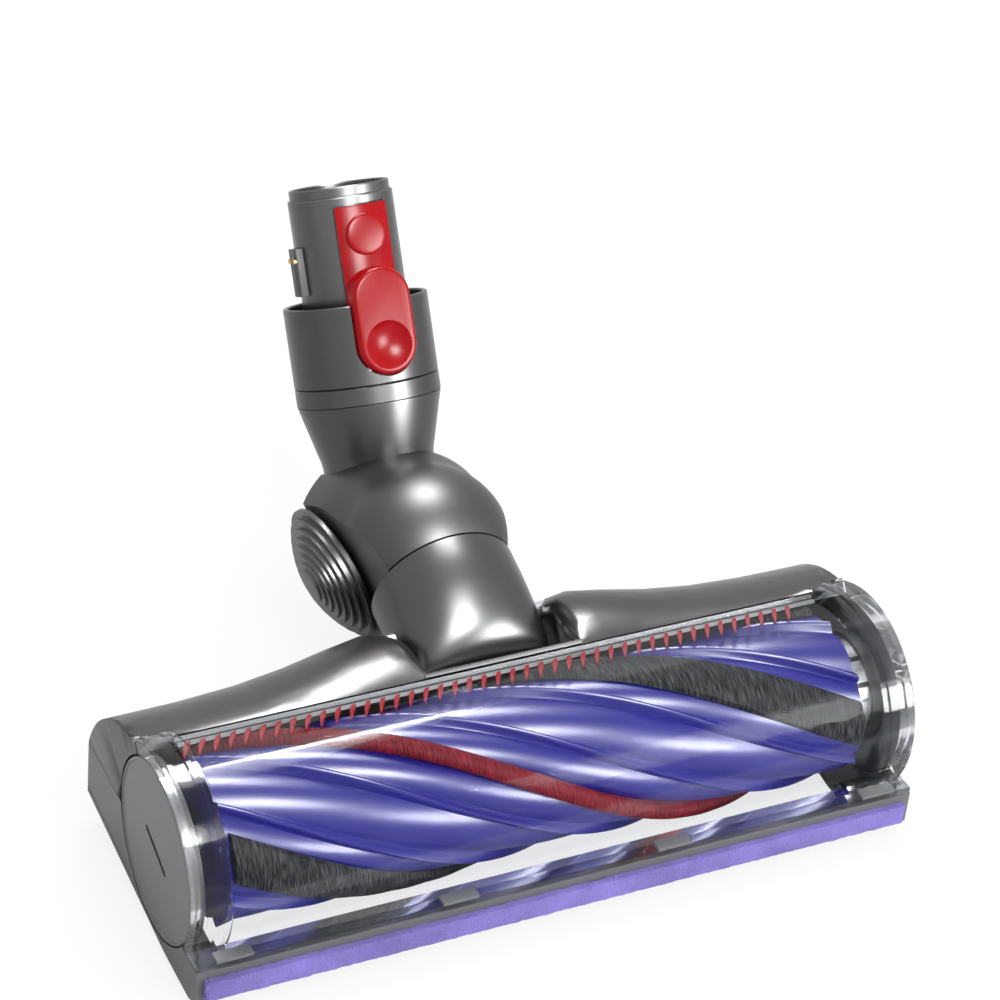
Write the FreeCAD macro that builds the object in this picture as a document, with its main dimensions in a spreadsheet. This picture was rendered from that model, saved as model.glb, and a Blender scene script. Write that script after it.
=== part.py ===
import FreeCAD, Part
import Sketcher
import os

# Motorised floor head of a cordless vacuum cleaner: a ribbed brush roller under a
# clear half-round cover, a metallic rear housing in two humps, a drum-ended neck tube
# that pitches, a domed yoke on two cambered wheels that swivels on the tube, and an
# upper neck with a quick-release connector.
# X runs along the roller, Y towards the rear, Z up. Lengths are in millimetres.
# Head pieces are drawn about the roller's axis, tube pieces about the drum's axis
# with the tube along +Y, and yoke and upper-neck pieces about the wheels' centre
# with the upper neck along +Z.

Vector = FreeCAD.Vector
Rotation = FreeCAD.Rotation
doc = FreeCAD.newDocument("powerhead")

SIZES = [
    ("head_width", 250, "overall width of the head"),
    ("axis_height", 35, "roller axis above the floor"),
    ("fit_gap", 0.3, "gap between pieces that only lie beside each other"),
    ("run_fit", 0.06, "radial clearance of a turning fit"),
    ("screw_radius", 1.5, "radius of the case screws"),
    ("cover_radius", 33, "outside of the clear cover"),
    ("cover_wall", 2, "wall of the clear cover"),
    ("seam_dip", 7, "where the brush chamber's side seam lies below level, as an angle"),
    ("seam_play", 0.8, "angle left open along the cover's rear seam"),
    ("ring_radius", 34.6, "outside of the cover's thick end rings"),
    ("ring_width", 12, "width of each end ring"),
    ("ring_rib", 0.8, "height of the ribs on the end rings"),
    ("ring_rib_in", 1.6, "ribs from the edges of the end ring"),
    ("ring_rib_width", 2, "width of a rib on the end rings"),
    ("seam_angle", 55, "where the clear cover meets the rear housing, from the rear"),
    ("cover_front_drop", 17.5, "lower edge of the cover at the front, below the axis"),
    ("flange_thick", 2, "thickness of the cover's front flange"),
    ("flange_root", 5.3, "lower root of the flange inside the cover's skin"),
    ("flange_root_top", 3.6, "upper root of the flange inside the cover's skin"),
    ("chamber_wall", 1.5, "wall behind the brush"),
    ("rear_depth", 60, "rear face of the housing behind the axis"),
    ("rear_seam_drop", 4.5, "seam of upper and lower housing, below the axis"),
    ("housing_wall", 2.2, "wall of the housings"),
    ("back_bow", 46.2, "radius of the rear cover's back at its ends"),
    ("hump_bow", 28.8, "radius of the rear cover's back beside the neck"),
    ("saddle_half", 27, "half width of the opening for the neck"),
    ("bridge_lap", 1, "how far the saddle's bridge runs into the humps"),
    ("end_wall", 3, "thickness of the end panels"),
    ("sole_rear_drop", 25, "underside at the rear, below the axis"),
    ("sole_drop", 32.5, "underside at the front, below the axis"),
    ("sole_break", 10, "where the rear slope of the sole ends, before the axis"),
    ("sole_wall", 2.4, "thickness of the sole plate"),
    ("tray_lead", 1, "tray's front edge behind the suction mouth"),
    ("sole_front", 37.5, "front face of the sole before the axis"),
    ("sole_chamfer", 5.5, "bevel under the front face"),
    ("beam_depth", 6.5, "depth of the beam along the front of the sole"),
    ("tube_room_drop", 15.5, "floor of the opening for the neck, below the axis"),
    ("duct_half", 12, "half width of the air duct to the neck"),
    ("sole_screw_out", 84, "outer sole screws from the middle"),
    ("sole_screw", 12, "length of the sole screws"),
    ("post_spare", 1, "screw posts above the ends of the sole screws"),
    ("sole_screw_low", -29, "heads of the sole screws, from the roller axis"),
    ("board_start", 58, "control board from the middle"),
    ("board_back", 37, "control board behind the roller axis"),
    ("board_up", -7, "underside of the control board, from the roller axis"),
    ("board_length", 40, "length of the control board"),
    ("board_width", 15, "width of the control board"),
    ("board_thick", 1.6, "thickness of the control board"),
    ("board_hole_in", 3, "fixing posts from the control board's corners"),
    ("chip_in", 4, "parts on the control board from its front edge"),
    ("chip_height", 2, "height of the parts on the control board"),
    ("mouth_front", 27, "front edge of the suction mouth, before the axis"),
    ("mouth_rear", 20, "rear edge of the suction mouth, behind the axis"),
    ("mouth_half", 111, "half length of the suction mouth"),
    ("felt_height", 7.4, "height of the front felt strip"),
    ("felt_thick", 2.4, "thickness of the front felt strip"),
    ("felt_top_drop", 20.8, "top of the felt strip below the axis"),
    ("felt_inset", 2.5, "felt strip's ends from the head's ends"),
    ("cap_radius", 30, "radius of the end cap"),
    ("cap_thick", 3.6, "thickness of the end cap"),
    ("cap_boss", 8.5, "length of the boss behind the end cap"),
    ("bearing_in", 5, "outer face of the roller bearing from the head's end"),
    ("slot_length", 19, "length of the coin slot"),
    ("slot_width", 2.2, "width of the coin slot"),
    ("slot_depth", 1.4, "depth of the coin slot"),
    ("slot_angle", 8, "lean of the coin slot from upright"),
    ("roller_half", 110, "half length of the brush roller"),
    ("roller_radius", 25, "floor of the roller's channels"),
    ("rib_radius", 27.6, "crest of the roller's ribs"),
    ("bristle_radius", 29.4, "tips of the bristles"),
    ("roller_pitch", 310, "length of one full turn of the ribs"),
    ("crest_bevel", 0.8, "bevel beside the crest of ribs and strips"),
    ("rib_width", 3.4, "width of a roller rib"),
    ("rib_root", 1, "ribs and strips sunk in the roller's body"),
    ("strip_end", 1, "bristle strips from the roller's ends"),
    ("black_width", 9, "width of a black bristle strip"),
    ("red_width", 4.5, "width of the red bristle strip"),
    ("roller_bore", 20, "bore of the roller over the motor"),
    ("core_solid", 36, "solid length at the roller's left end"),
    ("plug_wall", 4, "wall of the roller's end plug round the bearing"),
    ("hub_length", 7, "length of the drive hub"),
    ("hub_gap", 1.5, "gap between the drive hub and the gearbox"),
    ("shaft_play", 1, "motor shaft's end from the bottom of its bore"),
    ("mount_thick", 4, "thickness of the motor mount"),
    ("motor_radius", 17.5, "radius of the motor inside the roller"),
    ("motor_length", 58, "length of the motor"),
    ("gearbox_length", 22, "length of the reduction gearbox"),
    ("shaft_radius", 2.5, "radius of the motor and roller shafts"),
    ("bearing_radius", 8, "outside of the roller bearing"),
    ("bearing_width", 5, "width of the roller bearing"),
    ("tooth_pitch", 5, "spacing of the comb teeth"),
    ("comb_angle", 8, "width of the comb's rail, as an angle about the roller"),
    ("comb_half", 112, "half length of the comb"),
    ("tooth_lean", 40, "turn of the comb teeth across the head"),
    ("tooth_ahead", 3, "comb teeth ahead of the seam, as an angle"),
    ("tooth_length", 6, "length of a comb tooth"),
    ("tooth_thick", 0.9, "thickness of a comb tooth"),
    ("drum_back", 50, "drum axis behind the roller axis"),
    ("drum_up", 17.8, "drum axis above the roller axis"),
    ("drum_radius", 20, "radius of the neck's drum"),
    ("drum_gap", 0.6, "running gap round the drum"),
    ("tube_radius", 25, "outside of the neck tube"),
    ("tube_wall", 2.4, "wall of the neck tube"),
    ("tube_length", 18.8, "drum axis to the swivel seam"),
    ("neck_rise", 14, "rise of the neck tube above level"),
    ("hose_radius", 15.5, "radius of the hose end in the neck tube"),
    ("hose_start", 9, "hose end's collar behind the drum axis"),
    ("hose_length", 12, "length of the hose end"),
    ("hose_flange", 2, "thickness of the hose end's collar"),
    ("hose_wall", 1.2, "wall of the hose end"),
    ("hose_rib", 1, "height of the hose end's ribs"),
    ("hose_rib_step", 3, "spacing of the hose end's ribs"),
    ("spigot_bore", 19, "air way through the swivel spigot"),
    ("spigot_lap", 1, "how far the spigot runs into the yoke's face"),
    ("snap_lip", 1.4, "swivel ring proud of the spigot's bore"),
    ("snap_thick", 1.4, "thickness of the swivel ring"),
    ("boss_radius", 11, "radius of the yoke's pivot bosses"),
    ("ear_out", 13, "outer face of the upper neck's pivot ears, from the middle"),
    ("ear_thick", 3, "thickness of the upper neck's pivot ears"),
    ("neck_pin_start", 9.5, "inner end of the neck's pivot pins, from the middle"),
    ("neck_pin_length", 6, "length of the neck's pivot pins"),
    ("axle_inside", 4.2, "wheel axle inside the yoke"),
    ("axle_outside", 8, "wheel axle outside the wheel's base"),
    ("axle_lip", 1.6, "wheel clip beyond the axle"),
    ("clip_thick", 1, "thickness of the wheel clips"),
    ("clip_room", 0.4, "room round the wheel clips"),
    ("pin_radius", 3, "radius of the drum's pivot pins"),
    ("pin_length", 11.5, "length of the drum's pivot pins"),
    ("pin_head", 1.2, "thickness of the pivot pins' heads"),
    ("pin_lip", 1.4, "heads of the pivot pins beyond their shanks"),
    ("boss_gap", 1, "pivot bosses from the pins' heads"),
    ("drum_pin_start", 20.5, "inner end of the drum's pivot pins, from the middle"),
    ("post_radius", 4, "radius of the screw posts inside the housing"),
    ("post_out", 14, "inner screw posts from the opening for the neck"),
    ("post_end", 21, "outer screw posts from the head's ends"),
    ("case_screw", 24, "length of the case screws"),
    ("case_screw_low", -18, "lower end of the case screws, from the roller axis"),
    ("screw_head", 1.6, "height of a screw head"),
    ("head_radius", 2.8, "radius of a screw head"),
    ("dome_radius", 29, "radius of the yoke's dome"),
    ("dome_wall", 2.4, "wall of the yoke's dome"),
    ("dome_back", 30.9, "wheel centre behind the dome's centre, square to the neck"),
    ("dome_up", 6.1, "dome centre above the wheel centre, along the neck"),
    ("horn_length", 4, "how far the yoke's cheeks reach behind the wheel centre"),
    ("cheek_radius", 33, "radius of the yoke's cheeks beside the neck"),
    ("spigot_length", 4.5, "length of the yoke's swivel spigot"),
    ("neck_lean", 30.4, "upper neck leaning back from upright"),
    ("wheel_radius", 24.3, "radius of the wheels"),
    ("wheel_offset", 21, "wheel base from the middle, at the wheel centre"),
    ("wheel_camber", 18, "camber of the wheels"),
    ("wheel_depth", 10.5, "depth of a wheel's dome"),
    ("wheel_gap", 1.2, "gap between wheel and yoke"),
    ("axle_radius", 2.5, "radius of the wheel axles"),
    ("neck_radius", 18.7, "radius of the upper neck at its lower end"),
    ("neck_base", 14, "lower end of the upper neck's shell above its pivot"),
    ("ear_lap", 1, "how far the pivot ears run into the neck's shell"),
    ("ear_limit", 0.5, "pivot ears inside the neck's outside"),
    ("ear_radius", 8, "radius of the upper neck's pivot ears"),
    ("cone_start", 33, "start of the upper neck's flare"),
    ("cone_end", 56, "end of the upper neck's flare"),
    ("ring_height", 6.3, "height of the neck ring"),
    ("collar_height", 27.2, "height of the collar"),
    ("collar_radius", 24.5, "outside of the collar"),
    ("collar_wall", 1.7, "wall of the collar"),
    ("collar_floor", 2, "thickness of the collar's floor"),
    ("tube_reach", 38.9, "connector tube above the collar"),
    ("connector_radius", 17.7, "outside of the connector tube"),
    ("connector_bore", 15.6, "inside of the connector tube"),
    ("lip_radius", 16.9, "outside of the connector's lip"),
    ("lip_height", 3.4, "height of the connector's lip"),
    ("latch_width", 18.6, "width of the latch plate"),
    ("button_width", 20.4, "width of the latch button"),
    ("button_length", 36, "length of the latch button"),
    ("latch_length", 57, "length of the whole latch"),
    ("latch_foot", 2.6, "latch button's lower end above the collar's floor"),
    ("latch_plate", 1.5, "latch plate's front proud of the connector tube"),
    ("latch_float", 0.2, "latch plate's back above the connector tube"),
    ("latch_pin_radius", 1, "radius of the latch's pin"),
    ("latch_pin_length", 24, "length of the latch's pin"),
    ("latch_pin_front", 21, "latch pin in front of the neck's axis"),
    ("latch_pin_up", 2.6, "latch pin above the button's lower end"),
    ("spring_length", 12, "length of the latch's leaf spring"),
    ("spring_width", 6, "width of the latch's leaf spring"),
    ("spring_bow", 0.65, "rise of the latch's leaf spring"),
    ("spring_thick", 0.3, "thickness of the latch's leaf spring"),
    ("pocket_wall", 1, "wall left behind the latch in the connector tube"),
    ("button_proud", 1.2, "latch button proud of the collar"),
    ("button_depth", 7.4, "depth of the latch button"),
    ("bump_radius", 7, "radius of the latch's catch bump"),
    ("bump_proud", 1.4, "catch bump proud of the latch plate"),
    ("bump_down", 10, "catch bump below the latch's upper end"),
    ("dish_radius", 14, "radius of the thumb dish"),
    ("dish_depth", 2.6, "depth of the thumb dish"),
    ("latch_gap", 0.5, "gap round the latch"),
    ("key_width", 7, "width of the contact block"),
    ("key_length", 16, "length of the contact block"),
    ("key_proud", 1.9, "contact block proud of the connector tube"),
    ("key_depth", 1.2, "contact block sunk in the connector tube"),
    ("key_seat", 0.1, "gap under the contact block"),
    ("rail_proud", 0.5, "rail along the contact block"),
    ("contact_proud", 0.4, "contact pins proud of the rail"),
    ("contact_length", 3, "length of the contact pins"),
    ("key_up", 4, "contact block above the collar"),
    ("contact_radius", 0.8, "radius of the contact pins"),
    ("clip_length", 12, "length of a cover clip"),
    ("clip_depth", 4, "depth of a cover clip"),
    ("clip_height", 1.2, "height of a cover clip"),
    ("roller_small_radius", 4.5, "radius of the small sole rollers"),
    ("roller_small_width", 7, "width of the small sole rollers"),
    ("roller_pin_radius", 1, "radius of the small rollers' pins"),
    ("roller_small_out", 116, "small rollers from the middle"),
    ("roller_front_in", 8, "front small rollers behind the mouth's front edge"),
    ("roller_rear_in", 20, "rear small rollers behind the mouth's rear edge"),
    ("tyre_side", 1, "gap beside a small roller"),
    ("tyre_gap", 0.8, "gap round a small roller"),
    ("pocket_height", 12, "height of a small roller's pocket"),
    ("pin_lap", 2, "small rollers' pins beyond the rollers"),
    ("ear_side", 2.5, "bearing ears beyond the small rollers"),
    ("ear_half", 3, "half width of the bearing ears"),
    ("ear_low", 2.6, "bearing ears above the floor"),
    ("ear_height", 5, "height of the bearing ears"),
]

sheet = doc.addObject("Spreadsheet::Sheet", "Sizes")
for row, (alias, value, note) in enumerate(SIZES, 1):
    sheet.set("A%d" % row, note)
    sheet.set("B%d" % row, str(value))
    sheet.setAlias("B%d" % row, alias)
doc.recompute()


def size(alias):
    return float(sheet.get(alias))


def named(text):
    """Put the sheet's name before each alias in an expression."""
    words = []
    word = ""
    for letter in str(text) + " ":
        if letter.isalnum() or letter in "_.":
            word += letter
            continue
        words.append("Sizes." + word if word in ALIASES else word)
        words.append(letter)
        word = ""
    return "".join(words).strip()


ALIASES = {alias for alias, _, _ in SIZES}
HALF = "(head_width / 2)"
FLOOR = "(cone_end + ring_height)"
COLLAR_TOP = "(cone_end + ring_height + collar_height)"
NECK_TOP = "(cone_end + ring_height + collar_height + tube_reach)"
DOME_REACH = "(tube_length + sqrt(dome_radius ^ 2 - tube_radius ^ 2))"
PIVOT_Y = ("(drum_back + " + DOME_REACH + " * cos(neck_rise)"
           " + dome_back * cos(neck_lean) - dome_up * sin(neck_lean))")
PIVOT_Z = ("(drum_up + " + DOME_REACH + " * sin(neck_rise)"
           " - dome_back * sin(neck_lean) - dome_up * cos(neck_lean))")
REAR_END = "(" + PIVOT_Y + " + " + NECK_TOP + " * sin(neck_lean) + lip_radius * cos(neck_lean))"
FRONT_END = "(sole_front + felt_thick)"
SHIFT = "((" + FRONT_END + " - " + REAR_END + ") / 2)"
WIDE = "(head_width * 2)"
POSTS = ("(saddle_half + post_out)", "(head_width / 2 - post_end)")


def bind(obj, prop, text):
    obj.setExpression(prop, named(text))


def put(obj, x="0", y="0", z="0"):
    for axis, text in zip("xyz", (x, y, z)):
        if text != "0":
            bind(obj, ".Placement.Base." + axis, text)
    return obj


def box(name, x, y, z, length, width, height):
    obj = doc.addObject("Part::Box", name)
    bind(obj, "Length", length)
    bind(obj, "Width", width)
    bind(obj, "Height", height)
    return put(obj, x, y, z)


TURNS = {"x": Rotation(Vector(0, 1, 0), 90), "y": Rotation(Vector(1, 0, 0), -90), "z": Rotation()}


def rod(name, along, radius, length, x="0", y="0", z="0"):
    obj = doc.addObject("Part::Cylinder", name)
    obj.Placement.Rotation = TURNS[along]
    bind(obj, "Radius", radius)
    bind(obj, "Height", length)
    return put(obj, x, y, z)


def ball(name, radius, x="0", y="0", z="0"):
    obj = doc.addObject("Part::Sphere", name)
    bind(obj, "Radius", radius)
    return put(obj, x, y, z)


def cut(name, base, *tools):
    obj = doc.addObject("Part::Cut", name)
    obj.Base = base
    obj.Tool = tools[0] if len(tools) == 1 else fuse(name + "_tools", *tools)
    return obj


def fuse(name, *shapes):
    obj = doc.addObject("Part::MultiFuse", name)
    obj.Shapes = list(shapes)
    return obj


def common(name, *shapes):
    obj = doc.addObject("Part::MultiCommon", name)
    obj.Shapes = list(shapes)
    return obj


def value_of(text):
    answer = sheet.evalExpression(named(text))
    return float(getattr(answer, "Value", answer))


SIDE = Rotation(Vector(1, 1, 1), 120)
FRONT = Rotation(Vector(1, 0, 0), 90)


def corners(sketch, points):
    """Close a polygon through points given as pairs of expressions."""
    spots = [(value_of(a), value_of(b)) for a, b in points]
    count = len(spots)
    for i in range(count):
        start = Vector(*spots[i], 0)
        end = Vector(*spots[(i + 1) % count], 0)
        sketch.addGeometry(Part.LineSegment(start, end), False)
    for i in range(count):
        sketch.addConstraint(Sketcher.Constraint("Coincident", i, 2, (i + 1) % count, 1))
        for kind, text, spot in (("DistanceX", points[i][0], spots[i][0]),
                                 ("DistanceY", points[i][1], spots[i][1])):
            mark = sketch.addConstraint(Sketcher.Constraint(kind, -1, 1, i, 1, spot))
            bind(sketch, "Constraints[%d]" % mark, text)


def outline(name, turn, points):
    sketch = doc.addObject("Sketcher::SketchObject", name)
    sketch.Placement.Rotation = turn
    corners(sketch, points)
    return sketch


def prism(name, points, start, length):
    """A length of moulding along X with its section in Y and Z."""
    sketch = outline(name + "_section", SIDE, points)
    put(sketch, start)
    obj = doc.addObject("Part::Extrusion", name)
    obj.Base = sketch
    obj.DirMode = "Custom"
    obj.Dir = Vector(1, 0, 0)
    obj.Solid = True
    bind(obj, "LengthFwd", length)
    return obj


def turned(name, points):
    """A turned form about Z with its half section given as radius and height."""
    sketch = outline(name + "_section", FRONT, points)
    obj = doc.addObject("Part::Revolution", name)
    obj.Source = sketch
    obj.Axis = Vector(0, 0, 1)
    obj.Angle = 360
    obj.Solid = True
    return obj


NODES = []


def keep(label, obj, frame):
    """Name a finished piece and set it in its frame of the whole head."""
    piece = doc.addObject("Part::Refine", "piece")
    piece.Source = obj
    obj = piece
    obj.Label = label
    if frame == "head":
        put(obj, "0", SHIFT, "axis_height")
    if frame == "tube":
        obj.Placement.Rotation = Rotation(Vector(1, 0, 0), 5)
        bind(obj, ".Placement.Rotation.Angle", "neck_rise")
        put(obj, "0", SHIFT + " + drum_back", "axis_height + drum_up")
    if frame == "neck":
        obj.Placement.Rotation = Rotation(Vector(-1, 0, 0), 5)
        bind(obj, ".Placement.Rotation.Angle", "neck_lean")
        put(obj, "0", SHIFT + " + " + PIVOT_Y, "axis_height + " + PIVOT_Z)
    NODES.append(obj)
    return obj


def mirrored(name, obj):
    twin = doc.addObject("Part::Mirroring", name)
    twin.Source = obj
    twin.Normal = Vector(1, 0, 0)
    return twin


# Clear cover: half a tube from the rear seam over the top to the front, with a flange
# along the front and a thick ribbed ring at each end.
def wedge_below(name, radius):
    """The part of a section that the clear cover leaves open, behind and below."""
    return prism(name, [
        ("0", "0"),
        (radius + " * cos(seam_angle)", radius + " * sin(seam_angle)"),
        (radius, radius + " * sin(seam_angle)"),
        (radius, "-" + radius),
        ("-" + radius, "-" + radius),
        ("-" + radius, "-cover_front_drop"),
        ("-cover_front_drop", "-cover_front_drop"),
    ], "-" + WIDE, "2 * " + WIDE)


def clear_cover():
    length = "(head_width - 2 * fit_gap)"
    start = "(-head_width / 2 + fit_gap)"
    shell = rod("cover_skin", "x", "cover_radius", length, start)
    forms = [shell]
    for side in (-1, 1):
        at = start if side < 0 else "(head_width / 2 - fit_gap - ring_width)"
        forms.append(rod("cover_ring", "x", "ring_radius", "ring_width", at))
        for step in (0, 1):
            spot = at + " + ring_width * (%d / 2)" % step + " + ring_rib_in"
            forms.append(rod("cover_rib", "x", "ring_radius + ring_rib", "ring_rib_width", spot))
    whole = fuse("cover_forms", *forms)
    hollow = rod("cover_hollow", "x", "cover_radius - cover_wall", "head_width - 2 * cap_thick",
                 "-head_width / 2 + cap_thick")
    seat = rod("cover_seat", "x", "cap_radius + fit_gap", WIDE, "-head_width")
    open_side = wedge_below("cover_open", "(cover_radius * 2)")
    skin = cut("cover_open_shell", whole, hollow, seat, open_side)
    flange = prism("cover_flange", [
        ("-cover_radius + flange_root", "-cover_front_drop"),
        ("-cover_radius + flange_root_top", "-cover_front_drop + flange_thick"),
        ("-sole_front", "-cover_front_drop + flange_thick"),
        ("-sole_front", "-cover_front_drop"),
    ], start, length)
    return keep("clear_cover", fuse("cover_whole", skin, flange), "head")


# Rear cover: two humps either side of the neck, lofted from flatter ends.
def back_section(name, at, bow, inset):
    """Section of the rear cover's back: one arc from the seam to the rear edge."""
    run_y = "(rear_depth - cover_radius * cos(seam_angle))"
    run_z = "(-rear_seam_drop - cover_radius * sin(seam_angle))"
    half = "(sqrt(" + run_y + " ^ 2 + " + run_z + " ^ 2) / 2)"
    rise = "(sqrt(" + bow + " ^ 2 - " + half + " ^ 2) / (2 * " + half + "))"
    middle = ("((rear_depth + cover_radius * cos(seam_angle)) / 2 + " + run_z + " * " + rise + ")",
              "((cover_radius * sin(seam_angle) - rear_seam_drop) / 2 - " + run_y + " * " + rise
              + ")")
    share = "((" + bow + " - " + inset + ") / " + bow + ")"
    top = (middle[0] + " + (cover_radius * cos(seam_angle) - " + middle[0] + ") * " + share,
           middle[1] + " + (cover_radius * sin(seam_angle) - " + middle[1] + ") * " + share)
    low = (middle[0] + " + (rear_depth - " + middle[0] + ") * " + share,
           middle[1] + " + (-rear_seam_drop - " + middle[1] + ") * " + share)
    y0, z0, y1, z1, y2, z2 = [value_of(text) for text in middle + top + low]
    radius = value_of(bow + " - " + inset)
    base = "(-rear_seam_drop - " + inset + ")"
    floor = value_of(base)
    peak = Vector(y0, z0, 0) + (Vector(y1 + y2 - 2 * y0, z1 + z2 - 2 * z0, 0)).normalize() * radius
    sketch = doc.addObject("Sketcher::SketchObject", name)
    sketch.Placement.Rotation = SIDE
    put(sketch, at)
    sketch.addGeometry(Part.Arc(Vector(y2, z2, 0), peak, Vector(y1, z1, 0)), False)
    spots = [(y1, z1, top), (y1, floor, (top[0], base)), (y2, floor, (low[0], base))]
    if inset != "0":
        spots.append((y2, z2, low))
    for i, (y, z, texts) in enumerate(spots):
        ahead = spots[i + 1] if i + 1 < len(spots) else (y2, z2, low)
        if (y, z) == (ahead[0], ahead[1]):
            continue
        line = sketch.addGeometry(Part.LineSegment(Vector(y, z, 0),
                                                   Vector(ahead[0], ahead[1], 0)), False)
        for kind, end, text, spot in (("DistanceX", 1, texts[0], y), ("DistanceY", 1, texts[1], z),
                                      ("DistanceX", 2, ahead[2][0], ahead[0]),
                                      ("DistanceY", 2, ahead[2][1], ahead[1])):
            mark = sketch.addConstraint(Sketcher.Constraint(kind, -1, 1, line, end, spot))
            bind(sketch, "Constraints[%d]" % mark, text)
    for kind, point, text, spot in (("DistanceX", 1, low[0], y2), ("DistanceY", 1, low[1], z2),
                                    ("DistanceX", 2, top[0], y1), ("DistanceY", 2, top[1], z1)):
        mark = sketch.addConstraint(Sketcher.Constraint(kind, -1, 1, 0, point, spot))
        bind(sketch, "Constraints[%d]" % mark, text)
    mark = sketch.addConstraint(Sketcher.Constraint("Radius", 0, radius))
    bind(sketch, "Constraints[%d]" % mark, bow + " - " + inset)
    return sketch


HUMP_STEPS = ((0.0, 0.18), (0.04, 0.04), (0.1, 0.0), (0.22, 0.1), (0.38, 0.36), (0.55, 0.68),
              (0.75, 0.92), (1.0, 1.0))


def hump(name, inset, end, middle):
    """A hump's body: sections from the opening for the neck out to the head's end."""
    loft = doc.addObject("Part::Loft", name)
    sections = []
    for i, (share, flat) in enumerate(HUMP_STEPS):
        at = "(" + middle + " + (" + end + " - " + middle + ") * %.2f)" % share
        bow = "(hump_bow + (back_bow - hump_bow) * %.2f)" % flat
        sections.append(back_section("%s_%d" % (name, i), at, bow, inset))
    loft.Sections = sections
    loft.Solid = True
    loft.Ruled = True
    return loft


def sector(name, low, high):
    """A wedge of space about the roller's axis between two angles from the rear."""
    reach = "(3 * ring_radius)"
    return prism(name, [
        ("0", "0"),
        (reach + " * cos(" + low + ")", reach + " * sin(" + low + ")"),
        (reach + " * cos(" + high + ")", reach + " * sin(" + high + ")"),
    ], "-head_width", WIDE)


def rear_cover():
    outer = hump("hump_outside", "0", HALF, "saddle_half")
    inner = hump("hump_inside", "housing_wall", "(head_width / 2 - end_wall)",
                 "(saddle_half + housing_wall)")
    chamber = rod("cover_clearance", "x", "cover_radius + fit_gap", WIDE, "-head_width")
    shell = cut("hump_shell", outer, inner, chamber)
    rim_start = "(head_width / 2 - ring_width - fit_gap)"
    rim = common("end_rim",
                 rod("rim_out", "x", "ring_radius", "ring_width + fit_gap", rim_start),
                 sector("rim_sector", "-seam_dip", "seam_angle - seam_play"))
    filler = common("end_filler",
                    rod("filler_out", "x", "ring_radius + 3 * fit_gap", "end_wall",
                        "head_width / 2 - end_wall"),
                    sector("filler_sector", "-seam_dip", "seam_angle - seam_play"))
    posts = [rod("cover_post", "z", "post_radius", "2 * drum_radius", out, "drum_back",
                 "-rear_seam_drop") for out in POSTS]
    post = common("cover_posts", fuse("post_set", *posts), outer)
    solid = fuse("hump_solid", shell, rim, filler, post)
    cap_room = rod("cap_room", "x", "cap_radius + fit_gap", WIDE, "-head_width")
    pin = rod("pin_seat", "x", "pin_radius", "pin_length", "drum_pin_start", "drum_back", "drum_up")
    bores = [rod("post_bore", "z", "screw_radius", "case_screw", out, "drum_back",
                 "case_screw_low") for out in POSTS]
    half = cut("hump_half", solid, cap_room, pin, *bores)
    bridge_ring = cut("bridge_ring",
                      rod("bridge_out", "x", "cover_radius + fit_gap + chamber_wall",
                          "2 * saddle_half + 2 * bridge_lap", "-saddle_half - bridge_lap"),
                      rod("bridge_in", "x", "cover_radius + fit_gap", WIDE, "-head_width"))
    bridge = common("bridge", bridge_ring,
                    sector("bridge_sector", "seam_angle / 3", "seam_angle - seam_play"))
    drum_room = rod("drum_room", "x", "drum_radius + drum_gap", "2 * saddle_half",
                    "-saddle_half", "drum_back", "drum_up")
    arch = cut("saddle_bridge", bridge, drum_room)
    return keep("rear_cover", fuse("rear_cover_whole", half, mirrored("hump_twin", half), arch),
                "head")


# Lower housing: tray behind the brush, with the brush chamber's rear wall and the two
# end panels. The left one is open for the end cap.
def slope(y):
    """Height of the sole's rear slope at a distance behind the roller's axis."""
    return ("(-sole_rear_drop - (rear_depth - " + y + ")"
            " * (sole_drop - sole_rear_drop) / (rear_depth + sole_break))")


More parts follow.
